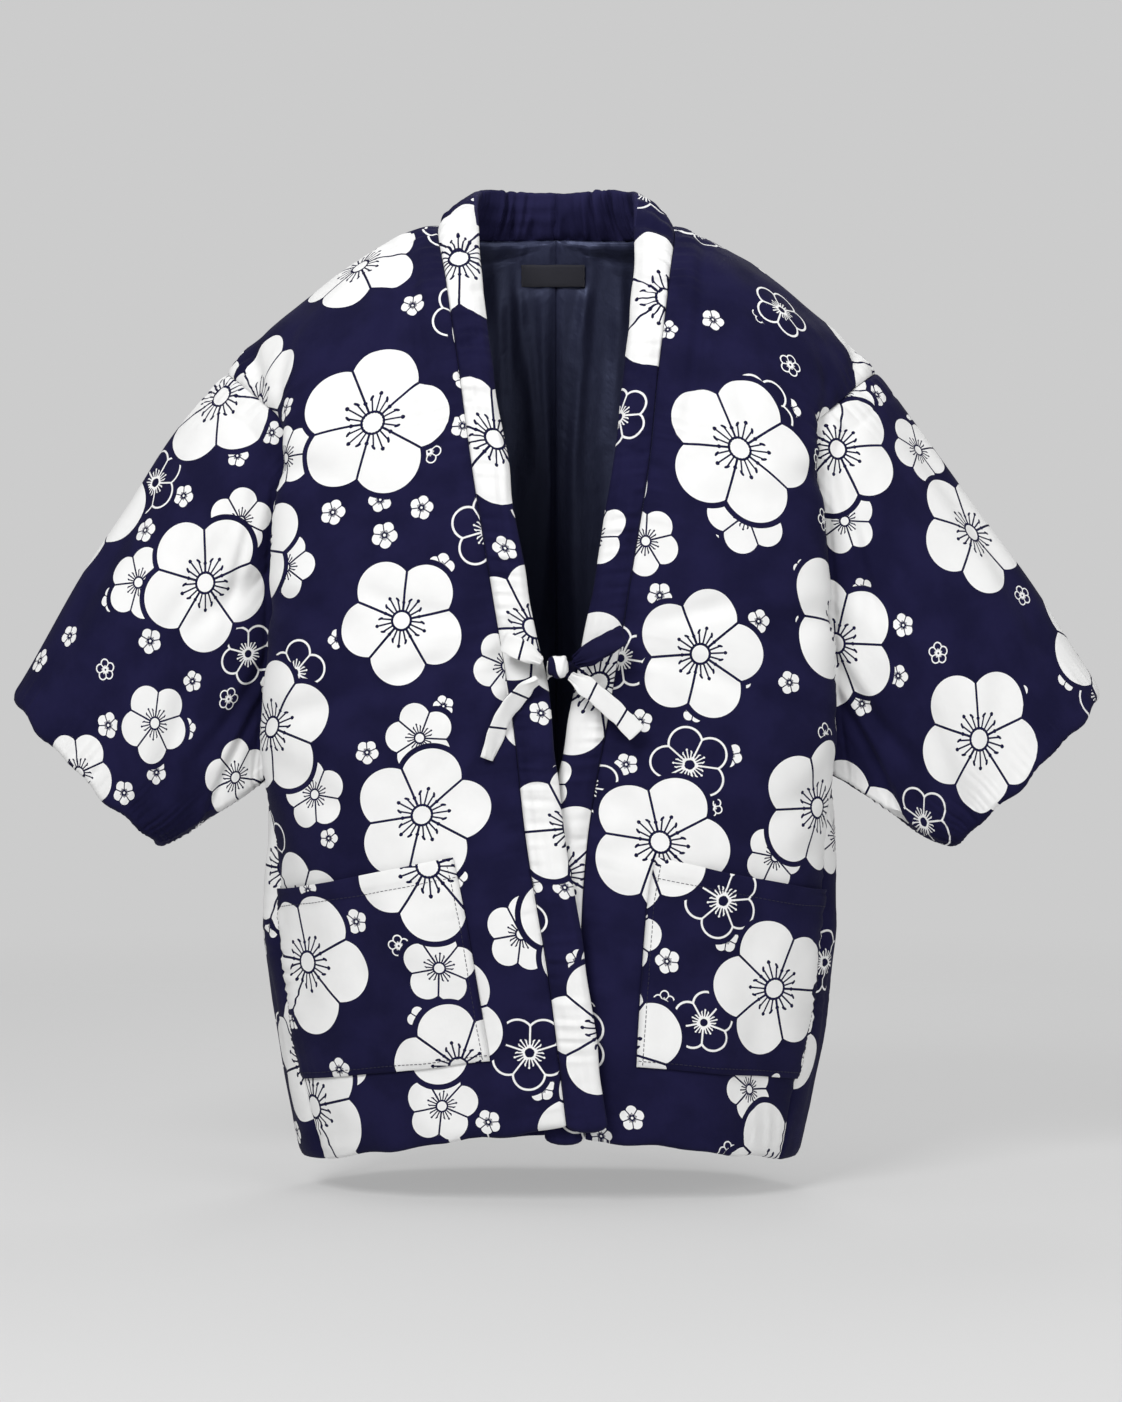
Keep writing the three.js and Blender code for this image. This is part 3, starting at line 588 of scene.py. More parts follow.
def new_group(name, inputs, outputs):
    """An empty shader node group: (group, its input sockets, its output node's sockets)."""
    group = bpy.data.node_groups.new(name, "ShaderNodeTree")
    for side, sockets in (("INPUT", inputs), ("OUTPUT", outputs)):
        for socket, kind in sockets.items():
            group.interface.new_socket(socket, in_out=side, socket_type="NodeSocket" + kind)
    return group, group.nodes.new("NodeGroupInput").outputs, group.nodes.new("NodeGroupOutput").inputs


def place_group(tree, group, **values):
    """A group's node in a material or another group, with its inputs fed. Returns its outputs."""
    return add_node(tree, "Group", [("node_tree", group)], **values)


def math_words(tree):
    """Short words for the Math nodes of a tree: plus, minus, times, below and largest."""
    def word(operation):
        """One operation as a function of its values."""
        return lambda *values: calc(tree, operation, *values)

    return [word(operation) for operation in ("ADD", "SUBTRACT", "MULTIPLY", "LESS_THAN", "MAXIMUM")]


def split(tree, vector):
    """The x, y and z of a vector socket."""
    return add_node(tree, "SeparateXYZ", Vector=vector)


def join(tree, x, y, z):
    """A vector socket from three values."""
    return add_node(tree, "CombineXYZ", X=x, Y=y, Z=z)["Vector"]


def chance(tree, vector):
    """Three random numbers that depend on a cell: the colour of a White Noise node, split."""
    scattered = add_node(tree, "TexWhiteNoise", [("noise_dimensions", "3D")], Vector=vector)
    return split(tree, scattered["Color"])


def noise(tree, place, scale, detail):
    """The grey of a Noise texture at a place."""
    return add_node(tree, "TexNoise", Vector=place, Scale=scale, Detail=detail)["Fac"]


def make_blossoms():
    """One layer of five-petalled blossoms, one to a cell, alternate rows of cells set over by half.

    With q the place from the blossom's middle, r its length and a its angle in the petal:
    a petal is the disc sqrt(r^2 - 2 r m cos a + m^2) < n, with m = 0.56 R and n = 0.44 R.
    Stamens are thin rays round the eye, each ending in a dot."""
    inputs = {"Place": "Vector"}
    inputs.update(dict.fromkeys(("Cell", "Radius", "Jitter", "Share", "Outlined", "Line", "Seed"), "Float"))
    group, given, result = new_group("blossoms", inputs, {"White": "Float", "Near": "Float"})
    plus, minus, times, below, largest = math_words(group)
    cell = given["Cell"]
    x, y, _ = split(group, given["Place"])
    v = calc(group, "DIVIDE", y, cell)
    row = calc(group, "FLOOR", v)
    set_over = times(calc(group, "FLOORED_MODULO", row, 2.0), 0.5)
    u = plus(calc(group, "DIVIDE", x, cell), set_over)
    column = calc(group, "FLOOR", u)
    first = chance(group, join(group, column, row, given["Seed"]))
    second = chance(group, join(group, column, row, plus(given["Seed"], 7.3)))

    def from_middle(value, whole, random):
        """Distance from the middle of a cell's blossom, which its random number moves."""
        inside = minus(minus(value, whole), 0.5)
        moved = times(minus(random, 0.5), given["Jitter"])
        return times(minus(inside, moved), cell)

    qx = from_middle(u, column, first[0])
    qy = from_middle(v, row, first[1])
    r = calc(group, "SQRT", plus(times(qx, qx), times(qy, qy)))
    angle = plus(calc(group, "ARCTAN2", qy, qx), times(first[2], 2 * np.pi))
    size = times(given["Radius"], plus(0.76, times(second[0], 0.24)))
    past_eye = calc(group, "GREATER_THAN", r, times(size, 0.13))

    petal = calc(group, "PINGPONG", angle, HALF_PETAL)
    m = times(size, 0.56)
    n = times(size, 0.44)
    squares = plus(times(r, r), times(m, m))
    cross_term = times(times(r, m), times(calc(group, "COSINE", petal), 2.0))
    edge = minus(calc(group, "SQRT", largest(minus(squares, cross_term), 0.0)), n)
    heart = times(below(r, m), below(r, times(size, 0.4)))
    inside = largest(below(edge, 0.0), heart)

    half_line = given["Line"]
    between = times(r, calc(group, "SINE", minus(HALF_PETAL, petal)))
    parting = times(below(between, half_line), past_eye)
    eye = below(calc(group, "ABSOLUTE", minus(r, times(size, 0.15))), half_line)
    off_stamen = times(r, calc(group, "SINE", calc(group, "PINGPONG", angle, HALF_THREAD)))
    reach = times(size, plus(0.34, times(calc(group, "COSINE", times(angle, 5.0)), 0.06)))
    stamen = times(times(below(off_stamen, times(half_line, 0.7)), past_eye), below(r, reach))
    squares = plus(calc(group, "POWER", minus(r, reach), 2.0), calc(group, "POWER", off_stamen, 2.0))
    from_tip = calc(group, "SQRT", squares)
    stamen = largest(stamen, below(from_tip, times(size, 0.028)))
    lines = largest(largest(parting, eye), stamen)

    filled = times(inside, minus(1.0, lines))
    rim_width = times(half_line, 1.2)
    outline = below(calc(group, "ABSOLUTE", plus(edge, rim_width)), rim_width)
    drawn = times(inside, largest(outline, lines))
    is_outlined = below(second[1], given["Outlined"])
    white = plus(times(drawn, is_outlined), times(filled, minus(1.0, is_outlined)))
    there = below(second[2], given["Share"])
    group.links.new(times(white, there), result["White"])
    group.links.new(times(below(edge, BLOSSOM_CLEARANCE), there), result["Near"])
    return group


def make_print():
    """White share of the print: three layers of blossoms, each kept clear of those before it."""
    group, given, result = new_group("plum_print", {"Place": "Vector"}, {"White": "Float"})
    _, minus, times, _, largest = math_words(group)
    blossoms = make_blossoms()
    about_z = [("rotation_type", "Z_AXIS")]
    turned = add_node(group, "VectorRotate", about_z, Vector=given["Place"], Angle=PRINT_TURN)["Vector"]
    white, clear = 0.0, 1.0
    for cell, radius, jitter, share, outlined, line, seed in BLOSSOMS:
        layer = place_group(group, blossoms, Place=turned, Cell=cell, Radius=radius, Jitter=jitter,
                            Share=share, Outlined=outlined, Line=line, Seed=seed)
        white = largest(white, times(layer["White"], clear))
        clear = times(clear, minus(1.0, layer["Near"]))
    group.links.new(white, result["White"])
    return group


def make_weave():
    """Plain weave with slubs: two crossed sine waves as height, and a slow mottle as shade."""
    outputs = {"Height": "Float", "Shade": "Float"}
    group, given, result = new_group("cotton_weave", {"Place": "Vector"}, outputs)
    place = given["Place"]
    x, y, _ = split(group, place)
    warp = calc(group, "SINE", calc(group, "MULTIPLY", x, 2 * np.pi / THREAD_PITCH))
    weft = calc(group, "SINE", calc(group, "MULTIPLY", y, 2 * np.pi / THREAD_PITCH))
    threads = calc(group, "MULTIPLY", calc(group, "MULTIPLY", warp, weft), 0.25)
    group.links.new(calc(group, "ADD", threads, noise(group, place, 260, 4)), result["Height"])
    group.links.new(noise(group, place, 22, 5), result["Shade"])
    return group


plum_print = make_print()
cotton_weave = make_weave()


def cloth_place(tree):
    """The point on the bolt that a piece was cut from: its own cloth map, in metres."""
    return add_node(tree, "UVMap", [("uv_map", "cloth")])["UV"]


def mix_colours(tree, share, first, second):
    """Two colours, or a colour and a socket, mixed by a share.

    A Mix node's colours are its inputs 6 and 7 and its output 2."""
    node = tree.nodes.new("ShaderNodeMix")
    node.data_type = "RGBA"
    tree.links.new(share, node.inputs["Factor"])
    for socket, value in zip((node.inputs[6], node.inputs[7]), (first, second)):
        if isinstance(value, tuple):
            socket.default_value = (*value, 1)
        else:
            tree.links.new(value, socket)
    return node.outputs[2]


def bump(tree, shader, height, distance, strength):
    """A Bump node of a height in its own units, into the shader's normal."""
    raised = add_node(tree, "Bump", Height=height, Distance=distance, Strength=strength)
    tree.links.new(raised["Normal"], shader.inputs["Normal"])


def shaded(tree, weave, colour, worn):
    """A dye that the weave's slow mottle turns to its worn shade in places."""
    return mix_colours(tree, remap(tree, weave["Shade"], 0.35, 0.65), colour, worn)


def make_printed_cotton():
    """Navy and white cotton: the print chooses the dye, the weave shades and roughens it."""
    material, tree, shader = new_material("printed_cotton")
    place = cloth_place(tree)
    white = place_group(tree, plum_print, Place=place)["White"]
    weave = place_group(tree, cotton_weave, Place=place)
    ground = shaded(tree, weave, NAVY, NAVY_WORN)
    dye = mix_colours(tree, white, ground, shaded(tree, weave, WHITE, WHITE_SHADE))
    feed(tree, shader, Base_Color=dye, Roughness=remap(tree, weave["Height"], 0.2, 0.9, 0.80, 0.92),
         Specular_IOR_Level=0.10, Specular_Tint=(0.8, 0.83, 1, 1), Sheen_Weight=0.02, Sheen_Roughness=0.4)
    bump(tree, shader, weave["Height"], 0.00025, 0.6)
    return material


def make_plain_cotton(name, ground, ground_shade, line=NAVY, lines=()):
    """The same cotton where the print is all one dye, with a few lines or none across it.

    A line is where the distance along the bolt, less 0.22 of the distance across, is within
    half the line's own width of a given length."""
    material, tree, shader = new_material(name)
    place = cloth_place(tree)
    weave = place_group(tree, cotton_weave, Place=place)
    dye = shaded(tree, weave, ground, ground_shade)
    across, along, _ = split(tree, place)
    slanted = calc(tree, "SUBTRACT", along, calc(tree, "MULTIPLY", across, 0.22))
    for length, half in lines:
        off_line = calc(tree, "ABSOLUTE", calc(tree, "SUBTRACT", slanted, length))
        on_line = calc(tree, "LESS_THAN", off_line, half)
        dye = mix_colours(tree, on_line, dye, line)
    feed(tree, shader, Base_Color=dye, Roughness=0.86, Specular_IOR_Level=0.10)
    bump(tree, shader, weave["Height"], 0.00025, 0.6)
    return material


def make_satin():
    """Navy satin lining: smooth, a little glossy, with faint lengthwise threads."""
    material, tree, shader = new_material("lining_satin")
    place = cloth_place(tree)
    stretched = add_node(tree, "Mapping", Vector=place, Scale=(1400, 60, 1))["Vector"]
    threads = noise(tree, stretched, 1.0, 3)
    ripple = noise(tree, place, 45, 3)
    feed(tree, shader, Base_Color=mix_colours(tree, threads, SATIN, SATIN_LIGHT),
         Roughness=remap(tree, threads, 0.2, 0.8, 0.42, 0.52), Specular_IOR_Level=0.6,
         Specular_Tint=(0.55, 0.63, 1, 1), Sheen_Weight=0.12, Sheen_Roughness=0.3,
         Sheen_Tint=(0.35, 0.42, 0.8, 1))
    bump(tree, shader, calc(tree, "ADD", calc(tree, "MULTIPLY", threads, 0.08), ripple), 0.0018, 0.8)
    return material


printed_cotton = make_printed_cotton()
# Plain navy for the inside of the back neck. It is painted lighter than the navy elsewhere, as painted
# light where the collar shades it.
painted_light_neck_navy = make_plain_cotton("neck_cotton_painted_light", PAINTED_LIGHT_NECK_NAVY, PAINTED_LIGHT_NECK_NAVY_WORN)
lining_satin = make_satin()

# Wadding. The cloth dips to each seam and is thickest away from the seams and the hem. A reach
# is how far from a seam or hem something is felt, and a cut is where on the bolt a piece lies.
SEAM_DIP = 1.6 * MM
SEAM_WALL = 2.6 * MM
FULL_WALL = 9.5 * MM
HEM_WALL = 7.5 * MM
SWELL = 2.4 * MM
SEAM_PUFF = 17 * MM
HEM_PUFF = 26 * MM
TURN_REACH = 18 * MM
WAVE_REACH = 22 * MM
LOOSE_REACH = 26 * MM
HEM_REACH = 24 * MM
PANEL_DIP = 1.0 * MM
COLLAR_GROOVE = 1.5 * MM
GROOVE_TOP_ROW = 6.0
HALF_GAP = 0.15 * MM
ROW_PITCH = 105 * MM
SEEDS = {"left": 40, "right": 60}
FOLD_GAIN = 1.3
PANEL_CUT = {"left": (0.31, 0.12), "right": (1.27, 0.46)}
PANEL_FOLDS = [
    # s0 t0 s1 t1 half width, height, bend; s from the centre edge, t down from the shoulder,
    # negative behind
    [24, -15, 32, 250, 9, -4.2, 4],
    [44, -5, 58, 190, 11, -2.6, -5],
    [30, 60, 95, 250, 15, -3.2, 8],
    [70, 40, 150, 210, 18, -2.4, -10],
    [196, -10, 208, 165, 13, -4.6, 5],
    [150, 60, 190, 200, 16, -2.6, 8],
    [225, 150, 120, 250, 17, -3.4, 10],
    [245, 330, 120, 400, 18, -3.6, -12],
    [240, 440, 110, 430, 14, -2.8, 12],
    [235, 470, 130, 560, 20, -3.2, 10],
    [12, 400, 120, 350, 10, -2.6, -6],
    [10, 425, 150, 455, 12, -3.0, 8],
    [10, 440, 90, 540, 11, -2.4, -8],
    [60, 620, 75, 800, 22, -2.8, 6],
    [160, 560, 175, 820, 26, -3.2, -10],
    [110, 700, 125, 850, 14, 2.0, 5],
    [40, -120, 120, -250, 20, -3.0, 10],
    [130, -60, 210, -210, 18, -3.2, -12],
    [235, -300, 130, -420, 20, -3.6, 12],
    [240, -430, 110, -450, 15, -3.0, -10],
    [30, -300, 50, -560, 24, -2.6, 8],
    [110, -520, 100, -820, 28, -3.4, -12],
    [190, -560, 180, -830, 24, -3.0, 10],
    [50, -640, 45, -850, 18, -2.2, -6],
]


def turned_in(normals, edge_in, distances, reach=TURN_REACH):
    """Inward direction over a piece: against the normal, turned to each seam's own near it."""
    inward = -normals
    for direction, distance in zip(edge_in, distances):
        near = (1 - smooth(distance, reach))[..., None]
        inward = inward * (1 - near) + direction * near
    return unit(inward)


def wadded(base, inward, seam_distance, hem_distance, fold, dip=SEAM_DIP):
    """Outer and inner faces of wadded cloth. The outer one rises from a dip at each seam to its
    full swell as a quarter circle, and thins to the hem; the wall between them does the same."""
    at_seam = pillow(seam_distance, SEAM_PUFF)
    at_hem = pillow(hem_distance, HEM_PUFF)
    out = -dip * (1 - at_seam) + SWELL * at_seam * (0.2 + 0.8 * at_hem)
    wall = SEAM_WALL + at_seam * (HEM_WALL + (FULL_WALL - HEM_WALL) * at_hem - SEAM_WALL)
    outer = base - inward * (out + fold)[..., None]
    return outer, outer + inward * wall[..., None]


def part_edge(outer, inner, edge, inside):
    """Moves one edge line of both faces HALF_GAP away from its seam, towards the line inside it."""
    for face in (outer, inner):
        face[edge] += HALF_GAP * unit(face[inside] - face[edge])


def seam_wave(rows, seed):
    """How a seam itself wanders in depth, shared by the pieces on both sides: a sum of three
    sines of the length along it, at ROW_PITCH a row."""
    p = np.random.default_rng(seed).uniform(0, 2 * np.pi, 3)
    a = rows * ROW_PITCH / MM
    return MM * (0.9 * np.sin(a / 19 + p[0]) + 0.7 * np.sin(a / 8.3 + p[1]) + 0.8 * np.sin(a / 41 + p[2]))


faces_of = {name: side_faces(side) for name, side in SIDES.items()}
panel_inner = {}
panel_outer = {}

for side_name, side in SIDES.items():
    base = faces_of[side_name]
    grid = base["panel"]
    seed = SEEDS[side_name]
    across = run_lengths(grid, 1)
    from_side = across[:, -1:] - across
    lengths = run_lengths(grid, 0)
    middle = lengths[:, PANEL_COLUMNS // 2]
    down = middle[ROW_SHOULDER * STEPS] - middle
    t = np.broadcast_to(down[:, None], across.shape)
    from_hem = np.minimum(middle, middle[-1] - middle)[:, None] + 0 * across

    neck = base["rows"] <= ROW_NECK_BACK
    out_of_collar = collar_frame(side, np.minimum(base["rows"], ROW_NECK_BACK))[3]
    centre_in = np.where(neck[:, None], -out_of_collar, np.array([0, -1.0, 0]))
    seams_in = (centre_in[:, None], base["side_in"][:, None])
    inward = turned_in(base["normals"]["panel"], seams_in, (across, from_side))

    # Beside the front of the collar the groove is wider and deeper.
    beside_collar = (1 - smooth(base["rows"] - GROOVE_TOP_ROW, 1.5))[:, None]
    seam_distance = np.minimum(across * (1 - 0.3 * beside_collar), from_side)
    dip = PANEL_DIP + COLLAR_GROOVE * beside_collar * (across < from_side)

    loose = smooth(across, LOOSE_REACH) * smooth(from_side, LOOSE_REACH)
    fold = seam_wave(base["rows"][:, None], seed) * (1 - smooth(from_side, WAVE_REACH))
    fold = fold + loose * (FOLD_GAIN * creases(across, t, PANEL_FOLDS) + billow(across, t, seed + 1, 1.8))
    fold = fold + loose * billow(across, t, seed + 2, 0.5, 60, 26, 12)
    fold = fold + gathers(lengths[:, :1], across, seed + 3, 1.5)
    fold = fold + gathers(lengths[:, -1:], from_side, seed + 4)
    fold = fold + gathers(across, from_hem, seed + 5, 0.9, 11, 15) * loose
    outer, inner = wadded(grid, inward, seam_distance, from_hem, fold, dip)
    part_edge(outer, inner, np.s_[:, 0], np.s_[:, 1])
    part_edge(outer, inner, np.s_[:, -1], np.s_[:, -2])

    # The hem's edge is a little uneven, up and down.
    near_hem = np.exp(-from_hem / HEM_REACH) * loose
    lift = np.sin(across / (17 * MM) + seed) + 0.7 * np.sin(across / (8.5 * MM) + 2 * seed)
    for face in (outer, inner):
        face[..., 2] += near_hem * MM * lift

    cut = np.array(PANEL_CUT[side_name])
    uv = np.stack([side * across + cut[0], t + cut[1]], -1)
    body = shell(f"body_{side_name}_cloth", outer, inner, uv, [printed_cotton, lining_satin], True, True)
    panel_outer[side_name], panel_inner[side_name] = outer, inner
    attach(body, "root")
    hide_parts(f"body_{side_name}")


# ---------------------------------------------------------------------------
# Gussets.
# A tapered strip between the front and the back of each side, from the hem up to the underarm.
# It is the same wadded, lined cotton, sewn in on both long edges.
GUSSET_FOLDS = [
    # s0 t0 s1 t1 half width, height, bend; s from the front seam, t down from the underarm
    [10, 30, 50, 130, 9, -2.6, 4],
    [48, 60, 40, 240, 10, -2.2, -5],
    [30, 180, 36, 340, 11, -2.4, 5],
]
GUSSET_CUT = {"left": (0.07, 0.83), "right": (0.07, 1.36)}
GUSSET_TURN_REACH = 12 * MM
GUSSET_WAVE_REACH = 16 * MM
GUSSET_LOOSE_REACH = 18 * MM

for side_name, side in SIDES.items():
    base = faces_of[side_name]
    grid = base["gusset"]
    seed = SEEDS[side_name]
    across = run_lengths(grid, 1)
    down = run_lengths(grid, 0)
    from_back = across[:, -1:] - across
    from_hem = down[-1:] - down
    under = ROW_UNDERARM * STEPS
    front_in = base["side_in"][:under + 1][::-1]
    back_in = base["side_in"][(ROW_HEM_BACK - ROW_UNDERARM) * STEPS:]
    seams_in = (front_in[:, None], back_in[:, None], base["under_in"][None])
    inward = turned_in(base["normals"]["gusset"], seams_in, (across, from_back, down), GUSSET_TURN_REACH)

    from_underarm = np.arange(under + 1)[:, None] / STEPS
    front_wave = seam_wave(ROW_UNDERARM - from_underarm, seed)
    back_wave = seam_wave(ROW_HEM_BACK - ROW_UNDERARM + from_underarm, seed)
    fold = front_wave * (1 - smooth(across, GUSSET_WAVE_REACH))
    fold = fold + back_wave * (1 - smooth(from_back, GUSSET_WAVE_REACH))
    loose = smooth(across, GUSSET_LOOSE_REACH) * smooth(from_back, GUSSET_LOOSE_REACH)
    loose = loose * smooth(down, GUSSET_LOOSE_REACH)
    shape = creases(across, down, GUSSET_FOLDS) + billow(across, down, seed + 11, 1.2, 160, 50)
    fold = fold + loose * shape
    fold = fold + gathers(down, across, seed + 12, 0.9) + gathers(down, from_back, seed + 13, 0.9)
    seam_distance = np.minimum(np.minimum(across, from_back), down)
    outer, inner = wadded(grid, inward, seam_distance, from_hem, fold)
    part_edge(outer, inner, np.s_[:, 0], np.s_[:, 1])
    part_edge(outer, inner, np.s_[:, -1], np.s_[:, -2])
    part_edge(outer, inner, 0, 1)

    uv = np.stack([across, down], -1) + np.array(GUSSET_CUT[side_name])
    gusset = shell(f"gusset_{side_name}_cloth", outer, inner, uv, [printed_cotton, lining_satin],
                   False, True)
    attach(gusset, "root")
    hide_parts(f"gusset_{side_name}")


# ---------------------------------------------------------------------------
# Sleeves.
# Each is a short wide tube of the same cloth, folded at the top and seamed underneath, sewn to
# the panel's outer edge and to the top of the gusset. The cuff is turned in and softly rounded.
SLEEVE_FOLDS = [
    # s0 t0 s1 t1 half width, height, bend; s round from the top fold, forwards, t from the armhole
    [60, 8, 210, 90, 13, -3.2, 8],
    [250, 6, 150, 150, 15, -4.2, -12],
    [300, 8, 230, 190, 14, -4.6, 10],
    [330, 10, 300, 230, 12, -3.8, -8],
    [120, 20, 130, 200, 20, -2.8, 10],
    [30, 30, 60, 260, 18, -2.6, -8],
    [190, 120, 200, 300, 22, -3.0, 12],
    [90, 200, 250, 280, 18, -2.6, -10],
    [-70, 10, -190, 110, 14, -3.2, -8],
    [-260, 6, -170, 160, 15, -4.0, 12],
    [-310, 8, -250, 200, 14, -4.2, -10],
    [-110, 40, -120, 250, 20, -3.0, 10],
    [-210, 140, -200, 300, 22, -3.0, -12],
    [-50, 150, -80, 290, 16, -2.4, 8],
]
SLEEVE_CUT = {"left": (0.55, 2.1), "right": (1.9, 0.2)}
CUFF_REACH = 22 * MM
UNDER_SEAM_DIP = 2.4 * MM
UNDER_SEAM_PUFF = 12 * MM
PRESSED_AT = 27 * MM
PRESSED_WIDTH = 2.4 * MM
PRESSED_DEPTH = 1.1 * MM

for side_name, side in SIDES.items():
    base = faces_of[side_name]
    grid = base["sleeve"]
    seed = SEEDS[side_name]
    along = run_lengths(grid, 0)
    from_cuff = along[-1:] - along
    length = along.mean(axis=1, keepdims=True) + 0 * along
    around = run_lengths(grid, 1)
    girth = around[:, -1:]
    turn = 2 * np.pi * around / girth
    signed = np.where(around > girth / 2, around - girth, around)
    under_seam = np.abs(around - girth / 2)
    ring = run_lengths(grid[:1], 1) + 0 * along
    inward = turned_in(base["normals"]["sleeve"], (base["ring_in"][None],), (along,))

    # Rows of the panel that the ring's points lie on. The gusset's top has none.
    half = (ROW_SHOULDER - ROW_UNDERARM) * STEPS
    count = grid.shape[1]
    j = np.arange(count)
    ring_rows = np.where(j <= half, ROW_SHOULDER * STEPS - j, ROW_SHOULDER * STEPS + count - 1 - j) / STEPS
    on_panel = (j <= half) | (j >= half + GUSSET_COLUMNS)

    loose = smooth(along, LOOSE_REACH) * smooth(from_cuff + 12 * MM, 30 * MM)
    shape = FOLD_GAIN * creases(signed, length, SLEEVE_FOLDS)
    shape = shape + billow(np.sin(turn) * girth / 6.3, length, seed + 21, 2.0)
    shape = shape + billow(np.cos(turn) * girth / 6.3, length, seed + 22, 1.4)
    fold = seam_wave(ring_rows[None], seed) * (1 - smooth(along, WAVE_REACH)) * on_panel[None]
    fold = fold + loose * shape
    fold = fold + gathers(ring, along, seed + 24) + gathers(ring, from_cuff, seed + 25, 0.9, 11, 15)
    fold = fold + gathers(length, under_seam, seed + 26, 0.9) * loose
    fold = fold - UNDER_SEAM_DIP * (1 - pillow(under_seam, UNDER_SEAM_PUFF)) * smooth(along, 30 * MM)
    # A pressed line beside the armhole, where the seam's turned edge ends under the cloth.
    pressed = np.exp(-((along - PRESSED_AT) / PRESSED_WIDTH) ** 2)
    fold = fold - PRESSED_DEPTH * pressed * smooth(under_seam, 40 * MM)
    outer, inner = wadded(grid, inward, along, from_cuff, fold)
    part_edge(outer, inner, 0, 1)

    # The cuff's edge is a little uneven, in and out along the sleeve.
    near_cuff = np.exp(-from_cuff / CUFF_REACH)
    lift = near_cuff * MM * (1.5 * np.sin(6 * turn + seed) + 1.2 * np.sin(11 * turn + 2 * seed))
    reach = unit(grid[-1] - grid[-2])[None]
    for face in (outer, inner):
        face += reach * lift[..., None]
        face[:, -1] = face[:, 0]

    # The cloth map rolls the tube out flat: along its axis, and round it square to the axis.
    axis = unit(grid[-1, :-1].mean(axis=0) - grid[0, :-1].mean(axis=0))
    steps = np.diff(grid, axis=1)
    steps = np.linalg.norm(steps - (steps @ axis)[..., None] * axis, axis=-1)
    width = np.concatenate([0 * along[:, :1], np.cumsum(steps, axis=1)], axis=1)
    width = np.where(around > girth / 2, width - width[:, -1:], width)
    uv = np.stack([grid @ axis, width], -1) + np.array(SLEEVE_CUT[side_name])
    sleeve = shell(f"sleeve_{side_name}_cloth", outer, inner, uv, [printed_cotton, lining_satin],
                   False, True, closed_round=True)
    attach(sleeve, "root")
    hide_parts(f"sleeve_{side_name}")


# ---------------------------------------------------------------------------
# Collar.
# A long band of the same cotton, folded over wadding and sewn to the fronts and round the neck,
# in two halves that meet at the centre back. It is gathered a little where it turns.
COLLAR_HALF = 8 * MM
COLLAR_EDGE = 1.3 * MM
COLLAR_AROUND = 44
COLLAR_CUT = {"left": (0.62, 0.05), "right": (1.71, 1.33)}
COLLAR_TURN = 90 * MM
COLLAR_LEAST = 0.4 * MM
COLLAR_OFF_SEAM = 0.3 * MM
COLLAR_HALF_GAP = 0.6 * MM
COLLAR_ROW_PITCH = 85 * MM
NECK_GATHER_ROW = 6.6
NECK_CLOTH_ROW = 7.6
NECK_FOLDS = {
    # s0 t0 s1 t1 half width, height, bend; s from the centre back, t from the seam to the edge
    "left": [
        [60, -12, 56, 58, 3.4, -6.5, 2], [46, -14, 50, 38, 3.2, -5.0, -2], [67, -8, 66, 50, 4.0, 3.0, 0],
        [20, -14, 25, 26, 5.0, -3.4, 3], [4, -10, 8, 40, 4.0, 2.0, 1], [34, 12, 30, 62, 4.5, -2.6, 2],
    ],
    "right": [
        [36, 62, 42, -10, 3.2, -6.5, -4], [55, -12, 52, 58, 3.2, -6.8, 2], [64, -12, 62, 58, 3.0, -5.0, -2],
        [46, -10, 45, 50, 3.6, 3.0, 2], [13, -16, 9, 26, 5.0, -3.6, -2], [25, 5, 22, 56, 5.0, 2.2, 0],
    ],
}
BAND_FOLDS = {
    # the same on the outer face, with s from the front hem
    "left": [
        [640, -6, 655, 30, 6, -2.2, 3], [700, -6, 712, 26, 5, -2.0, -3], [745, 4, 760, 44, 6, -2.4, 2],
        [790, -6, 800, 40, 5, -2.8, 2], [815, 8, 822, 50, 5, -2.4, -2], [850, -6, 846, 44, 6, -2.6, 3],
        [300, -6, 325, 24, 7, -1.8, 3], [180, -6, 195, 22, 7, -1.6, -3], [430, 6, 460, 34, 8, -1.6, 4],
    ],
    "right": [
        [560, -6, 585, 26, 7, -2.0, 3], [610, -6, 622, 30, 5, -2.4, -3], [668, -6, 690, 32, 6, -2.6, 3],
        [725, 2, 742, 42, 6, -2.2, -2], [770, -6, 780, 40, 5, -2.6, 2], [805, -4, 811, 48, 5, -2.8, 2],
        [838, 4, 836, 50, 6, -2.4, -3], [250, -6, 275, 24, 7, -1.8, -3], [120, -6, 140, 24, 7, -1.6, 3],
    ],
}


